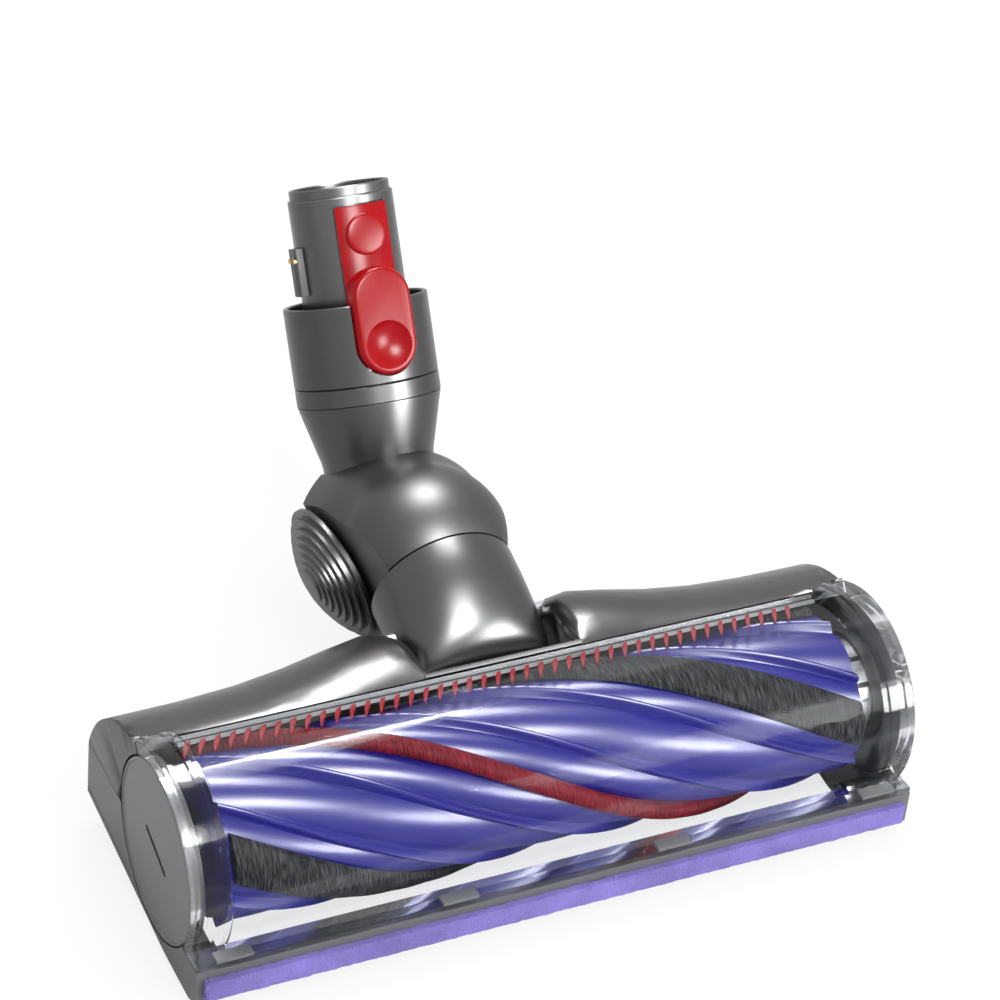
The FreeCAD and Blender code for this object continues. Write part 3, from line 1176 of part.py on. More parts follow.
def release_latch():
    foot = "(" + FLOOR + " + latch_foot)"
    face = "(-collar_radius - button_proud)"
    plate = bowed("latch_plate", "connector_radius + latch_float",
                  "connector_radius + latch_plate", "(latch_width / 2)",
                  foot + " + button_length / 2", "latch_length - button_length / 2")
    bump = rod("latch_bump", "y", "bump_radius", "2 * bump_proud", "0",
               "-connector_radius - latch_plate - bump_proud",
               foot + " + latch_length - bump_down")
    ends = [rod("button_end", "y", "button_width / 2", "button_depth", "0", face, foot + " + " + up)
            for up in ("button_width / 2", "button_length - button_width / 2")]
    middle = box("button_mid", "-button_width / 2", face, foot + " + button_width / 2",
                 "button_width", "button_depth", "button_length - button_width")
    dish = ball("thumb_dish", "dish_radius", "0", face + " - dish_radius + dish_depth",
                foot + " + button_width / 2")
    hole = rod("latch_pin_hole", "x", "latch_pin_radius + run_fit", WIDE, "-head_width",
               "-latch_pin_front", LATCH_PIN_Z)
    return keep("release_latch", cut("latch_whole", fuse("latch_forms", plate, bump, middle,
                                                         *ends), dish, hole), "neck")


def latch_pin():
    return keep("latch_pin", rod("latch_pin_rod", "x", "latch_pin_radius", "latch_pin_length",
                                 "-latch_pin_length / 2", "-latch_pin_front", LATCH_PIN_Z), "neck")


def latch_spring():
    """A bent leaf between the connector tube and the button."""
    low = FLOOR + " + latch_foot + button_length / 2"
    back = "(-connector_bore - pocket_wall"
    leaf = prism("spring_leaf", [
        (back + ")", low),
        (back + " - spring_bow)", low + " + spring_length / 2"),
        (back + ")", low + " + spring_length"),
        (back + " - spring_thick)", low + " + spring_length"),
        (back + " - spring_bow - spring_thick)", low + " + spring_length / 2"),
        (back + " - spring_thick)", low),
    ], "-spring_width / 2", "spring_width")
    return keep("latch_spring", leaf, "neck")


# Small rollers under the sole's corners, on steel pins.
def small_rollers():
    pins = []
    low = "(-axis_height + roller_small_radius)"
    for name, spot in SMALL_ROLLERS.items():
        for side, word in ((-1, "left"), (1, "right")):
            start = "(%d * roller_small_out - roller_small_width / 2)" % side
            tyre = rod("small_tyre", "x", "roller_small_radius", "roller_small_width", start,
                       spot, low)
            hole = rod("small_hole", "x", "roller_pin_radius + run_fit", WIDE, "-head_width",
                       spot, low)
            keep("%s_%s" % (name, word), cut("small_whole", tyre, hole), "head")
            pins.append(rod("small_pin", "x", "roller_pin_radius",
                            "roller_small_width + 2 * pin_lap", start + " - pin_lap", spot, low))
    return keep("sole_roller_pins", fuse("small_pins", *pins), "head")


CLIP_SHARES = (-0.9, -0.3, 0.3, 0.9)


def cover_clips():
    """Clips on the sole's beam that hold the clear cover's front flange."""
    clips = []
    for share in CLIP_SHARES:
        start = "(%.1f * head_width / 2 - clip_length / 2)" % share
        clips.append(box("clip_pad", start, "-sole_front", "-cover_front_drop + flange_thick",
                         "clip_length", "clip_depth", "clip_height"))
    return keep("cover_clips", fuse("clip_set", *clips), "head")


for build in (clear_cover, cover_clips, rear_cover, lower_housing, case_screws, control_board,
              sole_plate, sole_screws, front_felt, end_cap, end_cap_seal, end_bearing, brush_core,
              brush_plug, drive, comb, neck_tube, pivot_pins, air_hose, yoke, swivel_ring,
              neck_cone, neck_pins, neck_ring, collar, connector_tube, contact_block,
              contact_pins, release_latch, latch_pin, latch_spring, small_rollers):
    build()
bristles("black_bristles", BLACK_TURNS, "black_width")
bristles("red_bristles", RED_TURNS, "red_width")
for side, word in ((-1, "left"), (1, "right")):
    wheel(side, word)
    axle(side, word)

doc.recompute()
bad = [obj.Label for obj in doc.Objects
       if any(word in obj.State for word in ("Invalid", "Error"))]
for obj in NODES:
    if obj.Shape.isNull() or not obj.Shape.isValid():
        bad.append(obj.Label + " shape")
if bad:
    raise RuntimeError("failed: " + ", ".join(sorted(set(bad))))
os.makedirs("parts", exist_ok=True)
for obj in NODES:
    obj.Shape.exportStep("parts/%s.step" % obj.Label)
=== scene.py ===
import bpy
import math
from mathutils import Matrix, Vector


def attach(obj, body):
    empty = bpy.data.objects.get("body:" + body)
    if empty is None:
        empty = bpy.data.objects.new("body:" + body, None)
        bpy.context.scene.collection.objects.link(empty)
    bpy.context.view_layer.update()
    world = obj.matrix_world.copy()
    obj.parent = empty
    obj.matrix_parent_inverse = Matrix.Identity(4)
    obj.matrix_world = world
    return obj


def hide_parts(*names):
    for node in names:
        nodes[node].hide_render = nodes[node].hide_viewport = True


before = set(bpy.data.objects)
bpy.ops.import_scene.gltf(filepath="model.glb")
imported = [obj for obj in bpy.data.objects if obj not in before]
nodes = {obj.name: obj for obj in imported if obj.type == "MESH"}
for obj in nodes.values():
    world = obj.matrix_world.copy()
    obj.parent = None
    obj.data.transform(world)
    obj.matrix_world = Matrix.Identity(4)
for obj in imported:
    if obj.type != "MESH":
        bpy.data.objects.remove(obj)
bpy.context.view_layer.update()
bpy.ops.object.select_all(action="DESELECT")


# Sole plate: the moulded grey underside with the suction mouth and a front beam. It is
# injection moulded with a fine spark-eroded texture and screwed up into the housing.
class Level:
    """A value in a material that turns into Math nodes as it is worked with."""

    def __init__(self, finish, socket):
        self.finish = finish
        self.socket = socket

    def math(self, operation, first, second):
        return self.finish.node("ShaderNodeMath", {"operation": operation}, first, second)

    def __add__(self, other):
        return self.math("ADD", self, other)

    def __sub__(self, other):
        return self.math("SUBTRACT", self, other)

    def __rsub__(self, other):
        return self.math("SUBTRACT", other, self)

    def __mul__(self, other):
        return self.math("MULTIPLY", self, other)

    __radd__ = __add__
    __rmul__ = __mul__


class Finish:
    """One surface finish: a node material with its colour, gloss and fine relief."""

    def __init__(self, name, colour, roughness=0.4, metallic=0.0, coat=0.0, coat_blur=0.08,
                 sheen=0.0, shine=0.5):
        self.colour = colour
        self.material = bpy.data.materials.new(name)
        self.material.use_nodes = True
        self.tree = self.material.node_tree
        self.shader = self.tree.nodes["Principled BSDF"]
        self.shader.inputs["Base Color"].default_value = (*colour, 1)
        for key, value in (("Roughness", roughness), ("Metallic", metallic),
                           ("Coat Weight", coat), ("Coat Roughness", coat_blur),
                           ("Sheen Weight", sheen), ("Specular IOR Level", shine)):
            self.shader.inputs[key].default_value = value
        self.place = self.node("ShaderNodeTexCoord", output="Object")

    def node(self, kind, settings=None, *values, output=0, **named):
        """Add a node: its settings first, then the values or links of its sockets."""
        made = self.tree.nodes.new(kind)
        for key, value in (settings or {}).items():
            setattr(made, key, value)
        wanted = list(enumerate(values))
        wanted += [(key.replace("_", " "), value) for key, value in named.items()]
        for key, value in wanted:
            if isinstance(value, Level):
                self.tree.links.new(value.socket, made.inputs[key])
            else:
                made.inputs[key].default_value = value
        return Level(self, made.outputs[output])

    def feed(self, name, level):
        self.tree.links.new(level.socket, self.shader.inputs[name])
        return self

    def grain(self, scale, detail=3.0, along=None):
        """A noise pattern over the piece, stretched along its axes if asked."""
        where = self.place
        if along is not None:
            where = self.node("ShaderNodeMapping", None, Vector=self.place, Scale=along)
        return self.node("ShaderNodeTexNoise", None, Vector=where, Scale=scale, Detail=detail)

    def mixed(self, share, first, second):
        """Mix two colours. The node takes its share at socket 0, the colours at 6 and 7."""
        mix = self.tree.nodes.new("ShaderNodeMix")
        mix.data_type = "RGBA"
        for key, value in ((0, share), (6, first), (7, second)):
            if isinstance(value, Level):
                self.tree.links.new(value.socket, mix.inputs[key])
            else:
                mix.inputs[key].default_value = value if key == 0 else (*value, 1)
        return Level(self, mix.outputs[2])

    def relief(self, height, depth):
        """Raise the surface by a height pattern, its depth in metres."""
        bump = self.node("ShaderNodeBump", None, Height=height, Distance=depth, Strength=1.0)
        return self.feed("Normal", bump)

    def worn(self, shades, blur, size=900, depth=0.00002, along=None):
        """Cloud the colour between two shades and the roughness between two values."""
        deep, light = shades
        low, high = blur
        cloud = self.grain(60, 4.0)
        fine = self.grain(size, 2.0, along)
        self.feed("Base Color", self.mixed(cloud, [c * deep for c in self.colour],
                                           [min(1, c * light) for c in self.colour]))
        self.feed("Roughness", low + (high - low) * fine)
        return self.relief(fine, depth)


def alone(piece):
    """Select one piece and nothing else."""
    bpy.ops.object.select_all(action="DESELECT")
    piece.select_set(True)
    bpy.context.view_layer.objects.active = piece


def dress(finish, *pieces):
    for piece in pieces:
        piece.data.materials.clear()
        piece.data.materials.append(finish.material)


def smoothed(name, finish, body, angle=32, join=0.000005):
    """A copy of a CAD piece with its skin joined up and its round faces smooth."""
    piece = bpy.data.objects.new(name + "_skin", nodes[name].data.copy())
    bpy.context.scene.collection.objects.link(piece)
    alone(piece)
    bpy.ops.object.mode_set(mode="EDIT")
    bpy.ops.mesh.select_all(action="SELECT")
    bpy.ops.mesh.remove_doubles(threshold=join)
    bpy.ops.object.mode_set(mode="OBJECT")
    bpy.ops.object.shade_smooth_by_angle(angle=math.radians(angle))
    even = piece.modifiers.new("even", "WEIGHTED_NORMAL")
    even.keep_sharp = True
    bpy.ops.object.modifier_apply(modifier="even")
    dress(finish, piece)
    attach(piece, body)
    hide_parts(name)


sole_grey = Finish("sole_grey", (0.15, 0.15, 0.155))
sole_grey.worn((0.86, 1.1), (0.42, 0.6))
smoothed("sole_plate", sole_grey, "head")
steel = Finish("machined_steel", (0.5, 0.5, 0.52), 0.3, metallic=1.0)
steel.worn((0.8, 1.1), (0.22, 0.4), size=1500, depth=0.00001, along=(0.2, 1, 1))
for name in ("sole_screws", "sole_roller_pins", "case_screws", "pivot_pin_left",
             "pivot_pin_right"):
    smoothed(name, steel, "head")

# Lower housing: the grey tray behind the brush with its end walls, moulded in one piece
# and painted a satin metallic grey.
housing_grey = Finish("housing_grey", (0.14, 0.14, 0.145), 0.35, metallic=0.2)
housing_grey.worn((0.92, 1.08), (0.3, 0.42), size=1400, depth=0.00001)
smoothed("lower_housing", housing_grey, "head")
board_green = Finish("board_green", (0.02, 0.12, 0.05))
board_green.worn((0.8, 1.2), (0.3, 0.5))
smoothed("control_board", board_green, "head")

# Rear cover: the dark metallic shell in two humps over the housing, beside the neck,
# moulded in one piece and painted. Screws hold it down to the tray from below.
housing_dark = Finish("housing_dark", (0.07, 0.07, 0.071), 0.3, metallic=0.9)
housing_dark.worn((0.92, 1.08), (0.27, 0.33), size=1600, depth=0.000003)
smoothed("rear_cover", housing_dark, "head", 40)

# Front felt: a strip of short dense lilac pile bonded to the sole's front face, with its
# long edges worn round.
MM = 0.001
JOIN = 0.000002
AXIS = Vector((0, -0.072859, 0.035))
HEAD = [Matrix.Translation(AXIS)]


def begin(name):
    """A new piece that starts as one point, open for editing."""
    bpy.ops.object.select_all(action="DESELECT")
    bpy.ops.mesh.primitive_plane_add(size=0.01)
    piece = bpy.context.active_object
    piece.name = name
    bpy.ops.object.mode_set(mode="EDIT")
    bpy.ops.mesh.select_all(action="SELECT")
    bpy.ops.mesh.merge(type="CENTER")
    return piece


def trace(points):
    """Draw a line of edges through points, in millimetres, from the selected point."""
    bpy.ops.transform.translate(value=Vector(points[0]) * MM)
    for here, there in zip(points, points[1:]):
        bpy.ops.mesh.extrude_vertices_move(TRANSFORM_OT_translate={
            "value": (Vector(there) - Vector(here)) * MM})


def pick(piece, test):
    """Select the points whose place, in millimetres, passes a test."""
    bpy.ops.mesh.select_mode(type="VERT")
    bpy.ops.mesh.select_all(action="DESELECT")
    bpy.ops.object.mode_set(mode="OBJECT")
    for vertex in piece.data.vertices:
        vertex.select = bool(test(*(vertex.co / MM)))
    bpy.ops.object.mode_set(mode="EDIT")


def filled(piece, test=lambda x, y, z: True):
    """Close an outline with a face: the whole line, or the points that pass a test."""
    pick(piece, test)
    bpy.ops.mesh.edge_face_add()


def pull(x=0.0, y=0.0, z=0.0):
    """Draw the selected edges or faces out by millimetres."""
    bpy.ops.mesh.extrude_region_move(TRANSFORM_OT_translate={"value": Vector((x, y, z)) * MM})


def tightened():
    """Join the points that lie on each other and turn the skin outwards."""
    bpy.ops.mesh.select_all(action="SELECT")
    bpy.ops.mesh.remove_doubles(threshold=JOIN)
    bpy.ops.mesh.normals_make_consistent(inside=False)


def done(piece, finish, body, places, replaced, angle=30):
    """Close a piece, set it in its place, and give it its finish and its body."""
    if piece.mode != "EDIT":
        bpy.ops.object.mode_set(mode="EDIT")
    tightened()
    bpy.ops.object.mode_set(mode="OBJECT")
    alone(piece)
    for place in places:
        piece.matrix_world = place @ piece.matrix_world
    bpy.ops.object.transform_apply(location=True, rotation=True, scale=True)
    bpy.ops.object.shade_smooth_by_angle(angle=math.radians(angle))
    dress(finish, piece)
    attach(piece, body)
    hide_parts(*replaced)


felt_lilac = Finish("felt_lilac", (0.24, 0.19, 0.6), 0.9, sheen=0.2, shine=0.2)
felt_lilac.worn((0.45, 1.55), (0.85, 0.98), size=1500, depth=0.0007)
felt_length = 245
felt_slices = 60
felt = begin("front_felt_pile")
trace([(-felt_length / 2, -39.7, -28.2), (-felt_length / 2, -37.5, -28.2),
       (-felt_length / 2, -37.5, -20.8), (-felt_length / 2, -39.7, -20.8)])
bpy.ops.mesh.select_all(action="SELECT")
bpy.ops.mesh.edge_face_add()
for step in range(felt_slices):
    pull(x=felt_length / felt_slices)
bpy.ops.mesh.select_all(action="SELECT")
bpy.ops.mesh.remove_doubles(threshold=JOIN)
bpy.ops.mesh.subdivide(number_cuts=2)
bpy.ops.transform.vertex_random(offset=0.00022, seed=4)
done(felt, felt_lilac, "head", HEAD, ("front_felt",), 80)

# Brush roller: a glossy violet-blue moulding. Nine softly bowed bands wind along it
# between thin raised ridges, and three channels hold the bristle strips.
ROLLER_HALF = 110
STRIP_HALF = 109
SLICE = 2
SECTION_STEP = 1.5
TWIST = 360 / 310
RIDGES = (38, 86, 158, 206, 278, 326)
BLACK_STRIPS = (2, 242)
RED_STRIPS = (122,)
BAND_LOW = 23.4
BAND_RISE = 2.5
RIDGE_TOP = 27.5
RIDGE_FALL = 0.15
RIDGE_REACH = 4.9
marks = sorted(RIDGES + BLACK_STRIPS + RED_STRIPS)


def roller_radius(angle):
    """The roller's radius, in millimetres, at an angle about its axis."""
    before = max([mark for mark in marks if mark <= angle], default=marks[-1] - 360)
    after = min([mark for mark in marks if mark > angle], default=marks[0] + 360)
    share = (angle - before) / (after - before)
    radius = BAND_LOW + BAND_RISE * math.sin(math.pi * share) ** 0.8
    near = min(abs((angle - ridge + 180) % 360 - 180) for ridge in RIDGES)
    if near < RIDGE_REACH:
        radius = max(radius, RIDGE_TOP - RIDGE_FALL * near ** 2)
    return radius


def on_roller(x, radius, turn):
    """A point of the roller's section, the turn counted at its left end."""
    angle = math.radians(turn + ROLLER_HALF * TWIST)
    return (x, radius * math.sin(angle), -radius * math.cos(angle))


def wound(piece, half):
    """Draw a section out in short slices and wind the bar about its axis."""
    filled(piece)
    for step in range(half):
        pull(x=SLICE)
    bpy.ops.object.mode_set(mode="OBJECT")
    turn = piece.modifiers.new("turn", "SIMPLE_DEFORM")
    turn.deform_method = "TWIST"
    turn.deform_axis = "X"
    turn.angle = math.radians(SLICE * half * TWIST)
    bpy.ops.object.modifier_apply(modifier="turn")


roller_blue = Finish("roller_blue", (0.012, 0.008, 0.27), 0.3, coat=0.4, coat_blur=0.24,
                     shine=0.35)
roller_blue.worn((0.85, 1.1), (0.33, 0.41), size=1200, depth=0.000003)
core = begin("brush_core_winding")
section_turns = [SECTION_STEP * count for count in range(int(360 / SECTION_STEP))]
trace([on_roller(-ROLLER_HALF, roller_radius(turn), turn) for turn in section_turns])
wound(core, ROLLER_HALF)
done(core, roller_blue, "brush", HEAD, ("brush_core",), 50)
bristle_black = Finish("bristle_black", (0.03, 0.032, 0.038), 0.5, shine=0.12)
bristle_red = Finish("bristle_red", (0.42, 0.02, 0.045), 0.5, shine=0.12)
around_scale = 0.003
for finish, deep, light in ((bristle_black, (0.005, 0.006, 0.007), (0.15, 0.155, 0.165)),
                            (bristle_red, (0.16, 0.004, 0.012), (0.5, 0.02, 0.05))):
    split = finish.node("ShaderNodeSeparateXYZ", None, Vector=finish.place)
    along, y, z = (Level(finish, part) for part in split.socket.node.outputs)
    around = finish.node("ShaderNodeMath", {"operation": "ARCTAN2"}, z - AXIS.z, y - AXIS.y)
    spot = finish.node("ShaderNodeCombineXYZ", None, along, around * around_scale)
    hair = finish.node("ShaderNodeTexNoise", None, Vector=spot, Scale=1900.0, Detail=1.0)
    tuft = finish.node("ShaderNodeTexNoise", None, Vector=spot, Scale=420.0, Detail=2.0)
    finish.feed("Base Color", finish.mixed((hair * 2.6 - 1.05) * (tuft * 1.4), deep, light))
    finish.feed("Roughness", 0.4 + 0.3 * hair)
    finish.relief(hair, 0.0006)
strip_section = [(23.0, -0.5), (26.6, -1), (28.2, -0.86), (29.1, -0.5), (29.4, 0), (29.1, 0.5),
                 (28.2, 0.86), (26.6, 1), (23.0, 0.5)]
for name, turns, half, finish in (("black_bristles", BLACK_STRIPS, 18, bristle_black),
                                  ("red_bristles", RED_STRIPS, 7.5, bristle_red)):
    for turn in turns:
        strip = begin("%s_%d" % (name, turn))
        trace([on_roller(-STRIP_HALF, radius, turn + half * share)
               for radius, share in strip_section])
        wound(strip, STRIP_HALF)
        done(strip, finish, "brush", HEAD, (name,), 40)
plug_dark = Finish("plug_dark", (0.03, 0.03, 0.032), 0.5)
plug_dark.worn((0.8, 1.3), (0.4, 0.6))
for name, finish, body in (
        ("brush_plug", plug_dark, "brush"), ("drive_hub", plug_dark, "brush"),
        ("stub_shaft", steel, "brush"), ("motor_shaft", steel, "brush"),
        ("motor_case", steel, "head"), ("gearbox_case", plug_dark, "head"),
        ("motor_mount", plug_dark, "head"), ("drive_end_bearing", plug_dark, "head")):
    smoothed(name, finish, body)

# Hair comb: a thin rail with slanted red vanes under the rear seam of the clear cover,
# moulded in one piece and clipped under the rear cover's front edge.
comb_red = Finish("comb_red", (0.55, 0.01, 0.025), 0.4, shine=0.3)
comb_red.worn((0.85, 1.1), (0.35, 0.5), depth=0.00001)
rail_dark = Finish("comb_rail", (0.4, 0.4, 0.41), 0.5)
rail_dark.worn((0.8, 1.2), (0.4, 0.6))
comb_half = 112
rail = begin("hair_comb_rail")
trace([(-comb_half, r * math.cos(math.radians(a)), r * math.sin(math.radians(a)))
       for r, a in ((29.7, 47), (30.9, 47), (30.9, 52), (30.9, 57), (29.7, 57), (29.7, 52))])
filled(rail)
pull(x=2 * comb_half)
done(rail, rail_dark, "head", HEAD, ("hair_comb",), 20)
vane_start = -108.5
vane_slant = 6.0
vane_radius = 30.3
vane_root = 57
vane_sweep = 23
vane_pitch = 5
vane_count = 43
leaf = begin("hair_comb_vanes")
shape = [(0.6, 0), (0.9, 0.25), (0.75, 0.6), (0.2, 1), (-0.2, 0.97), (-0.8, 0.55), (-0.7, 0.2)]
trace([(vane_start + side - vane_slant * along,
        vane_radius * math.cos(math.radians(vane_root + vane_sweep * along)),
        vane_radius * math.sin(math.radians(vane_root + vane_sweep * along)))
       for side, along in shape])
filled(leaf)
pull(y=0.35, z=0.5)
bpy.ops.mesh.select_all(action="SELECT")
bpy.ops.mesh.normals_make_consistent(inside=False)
bpy.ops.object.mode_set(mode="OBJECT")
row = leaf.modifiers.new("row", "ARRAY")
row.count = vane_count
row.use_relative_offset = False
row.use_constant_offset = True
row.constant_offset_displace = (vane_pitch * MM, 0, 0)
bpy.ops.object.modifier_apply(modifier="row")
done(leaf, comb_red, "head", HEAD, ("hair_comb",), 20)

# End cap: a grey disc with a coin slot and a thin raised rim, turned a quarter to take
# the roller out.
SLOT_LEAN = math.radians(-70)


def spun(axis, steps=96, angle=360, centre=(0, 0, 0)):
    """Spin the whole line about an axis. The operator turns clockwise, so it goes back."""
    bpy.ops.mesh.select_all(action="SELECT")
    bpy.ops.mesh.spin(steps=steps, angle=-math.radians(angle), center=Vector(centre) * MM,
                      axis=axis)
    tightened()


def closed_up():
    """Leave a cutter, or a piece to be cut: its points joined and its skin outwards."""
    tightened()
    bpy.ops.object.mode_set(mode="OBJECT")


def carve(piece, *cutters):
    """Take the cutters' room out of a piece."""
    if piece.mode == "EDIT":
        bpy.ops.object.mode_set(mode="OBJECT")
    for cutter in cutters:
        alone(piece)
        room = piece.modifiers.new("room", "BOOLEAN")
        room.operation = "DIFFERENCE"
        room.object = cutter
        bpy.ops.object.modifier_apply(modifier="room")
        bpy.data.objects.remove(cutter)


cap_grey = Finish("cap_grey", (0.18, 0.18, 0.184), 0.36, metallic=0.2)
cap_grey.worn((0.92, 1.08), (0.3, 0.45), size=1400, depth=0.00001)
coin_slot = begin("slot_room")
outline = [(1.1, -8.4), (1.1, 8.4), (0.6, 9.3), (-0.6, 9.3), (-1.1, 8.4), (-1.1, -8.4),
           (-0.6, -9.3), (0.6, -9.3)]
trace([(-126, a * math.cos(SLOT_LEAN) - b * math.sin(SLOT_LEAN),
        a * math.sin(SLOT_LEAN) + b * math.cos(SLOT_LEAN)) for a, b in outline])
filled(coin_slot)
pull(x=2.4)
closed_up()
cap = begin("end_cap_disc")
trace([(-121.4, 0, 0), (-121.4, 0, 29.9), (-124.2, 0, 29.9), (-124.9, 0, 29.5), (-125, 0, 29.1),
       (-124.9, 0, 28.8), (-124.6, 0, 28.6), (-124.6, 0, 0)])
spun((1, 0, 0), 128)
carve(cap, coin_slot)
done(cap, cap_grey, "cap", HEAD, ("end_cap",), 30)
smoothed("end_cap_seal", plug_dark, "cap")
smoothed("end_bearing", steel, "cap")

# Clear cover: the half-round transparent hood over the brush, with a thick ribbed ring
# at each end and a flange along the front. It is moulded in one clear piece.
SEAM_ANGLE = 55
COVER_SWEEP = 157
RING_INNER_EDGE = 112.3
COVER_END = 124.7


def clear_finish(name, gloss):
    """Clear plastic: it lets the light through and mirrors a share of it."""
    finish = Finish(name, (0.95, 0.95, 0.96), 0.06, metallic=1.0)
    finish.worn((0.98, 1.0), (0.04, 0.09), size=300, depth=0.000001)
    glance = finish.node("ShaderNodeFresnel", None, IOR=1.4)
    through = finish.node("ShaderNodeBsdfTransparent", None, Color=(0.97, 0.975, 0.98, 1))
    mixture = finish.tree.nodes.new("ShaderNodeMixShader")
    finish.tree.links.new((glance * gloss).socket, mixture.inputs[0])
    finish.tree.links.new(through.socket, mixture.inputs[1])
    finish.tree.links.new(finish.shader.outputs[0], mixture.inputs[2])
    finish.tree.links.new(mixture.outputs[0], finish.tree.nodes["Material Output"].inputs[0])
    return finish


clear_shell = clear_finish("clear_shell", 0.06)
clear_ring = clear_finish("clear_ring", 0.9)
cover = begin("clear_cover_shell")
ring_profile = [(COVER_END, 30.4), (COVER_END, 34.2), (124.3, 34.6), (123.3, 34.6), (122.9, 35.4),
                (121.3, 35.4), (120.9, 34.6), (117.3, 34.6), (116.9, 35.4), (115.3, 35.4),
                (114.9, 34.6), (113.1, 34.6), (112.6, 34.2), (RING_INNER_EDGE, 33.0)]
outline = [(-x, r) for x, r in ring_profile] + [(x, r) for x, r in reversed(ring_profile)]
outline += [(121.4, 30.4), (121.4, 31), (-121.4, 31), (-121.4, 30.4)]
seam = math.radians(SEAM_ANGLE)
lower_edge = math.radians(SEAM_ANGLE + COVER_SWEEP - 180)
trace([(x, r * math.cos(seam), r * math.sin(seam)) for x, r in outline + outline[:1]])
spun((1, 0, 0), 80, COVER_SWEEP)
filled(cover, lambda x, y, z: abs(math.atan2(z, y) - seam) < 0.001)
filled(cover, lambda x, y, z: abs(math.atan2(-z, -y) - lower_edge) < 0.001)
done(cover, clear_shell, "head", HEAD, ("clear_cover",), 25)
cover.data.materials.append(clear_ring.material)
for face in cover.data.polygons:
    face.material_index = int(abs(face.center.x) > RING_INNER_EDGE * MM)
flange = begin("clear_cover_flange")
trace([(-COVER_END, -28.2, -17.4), (-COVER_END, -30, -15.6), (-COVER_END, -37.4, -15.6),
       (-COVER_END, -37.4, -17.4)])
filled(flange)
pull(x=2 * COVER_END)
done(flange, clear_ring, "head", HEAD, ("clear_cover",), 25)
smoothed("cover_clips", cap_grey, "head")

# Neck tube: a round tube whose front end is a drum across the housing. It pitches in the
# housing, is moulded in one piece and painted a satin metallic grey.
NECK_RISE = 14
TUBE_RADIUS = 25
TUBE_END = 18.5
TUBE = [Matrix.Rotation(math.radians(NECK_RISE), 4, "X"),
        Matrix.Translation(AXIS + Vector((0, 0.05, 0.0178)))]
neck_metal = Finish("neck_metal", (0.085, 0.085, 0.086), 0.28, metallic=0.9)
neck_metal.worn((0.95, 1.05), (0.29, 0.34), size=1600, depth=0.000002)
bpy.ops.object.select_all(action="DESELECT")
bpy.ops.mesh.primitive_circle_add(vertices=96, radius=TUBE_RADIUS * MM,
                                  rotation=(math.radians(90), 0, 0),
                                  location=(0, TUBE_END * MM, 0))
tube = bpy.context.active_object
tube.name = "neck_tube_shell"
bpy.ops.object.transform_apply(location=True, rotation=True, scale=True)
bpy.ops.object.mode_set(mode="EDIT")
bpy.ops.mesh.select_all(action="SELECT")
tube_rings = [(TUBE_END, TUBE_RADIUS, TUBE_RADIUS), (13.5, 25, 24.8), (9, 25, 24.2),
              (4.5, 25, 23.2), (0.5, 25, 21.9), (-3, 25, 20.4), (-6.5, 24.9, 18.8),
              (-10, 24.8, 16.9), (-13, 24.6, 14.7), (-15.5, 24.2, 12.1), (-17.6, 23.6, 8.8),
              (-19.1, 22.6, 4.9), (-19.8, 21.5, 1.2)]
for (y0, wide0, high0), (y1, wide1, high1) in zip(tube_rings, tube_rings[1:]):
    pull(y=y1 - y0)
    bpy.ops.transform.resize(value=(wide1 / wide0, 1, high1 / high0),
                             center_override=(0, 0, 0))
bpy.ops.mesh.edge_face_add()
pick(tube, lambda x, y, z: y > TUBE_END - 0.1)
bpy.ops.mesh.extrude_region()
bpy.ops.transform.resize(value=(0.91, 1, 0.91), center_override=(0, 0, 0))
pull(y=-9)
bpy.ops.mesh.edge_face_add()
done(tube, neck_metal, "neck_drum", TUBE, ("neck_tube",), 35)
hose_black = Finish("hose_black", (0.02, 0.02, 0.022), 0.6)
hose_black.worn((0.8, 1.3), (0.5, 0.7))
smoothed("air_hose", hose_black, "neck_drum")

# Yoke: a domed shell that turns on the tube. Its two flat sides lean with the wheels and
# its cheeks rise beside the upper neck. It is moulded in one piece and painted.
NECK_LEAN = 30.4
PIVOT = AXIS + Vector((0, 0.1060668, 0.0050059))
NECK = [Matrix.Rotation(math.radians(-NECK_LEAN), 4, "X"), Matrix.Translation(PIVOT)]
CAMBER = math.radians(18)
DOME_RADIUS = 29
DOME_BACK = 30.9
DOME_UP = 6.1
WHEEL_OFFSET = 21
YOKE_WALL = 2.4
WHEEL_GAP = 1.2
swivel_lean = math.radians(NECK_LEAN + NECK_RISE)


def leave(inside):
    """Keep what lies between two planes, set in by millimetres from the wheels' bases."""
    for side in (-1, 1):
        bpy.ops.mesh.select_all(action="SELECT")
        bpy.ops.mesh.bisect(
            plane_co=(side * (WHEEL_OFFSET * MM - inside * MM * math.cos(CAMBER)), 0,
                      inside * MM * math.sin(CAMBER)),
            plane_no=(side * math.cos(CAMBER), 0, -math.sin(CAMBER)), clear_outer=True,
            use_fill=True)


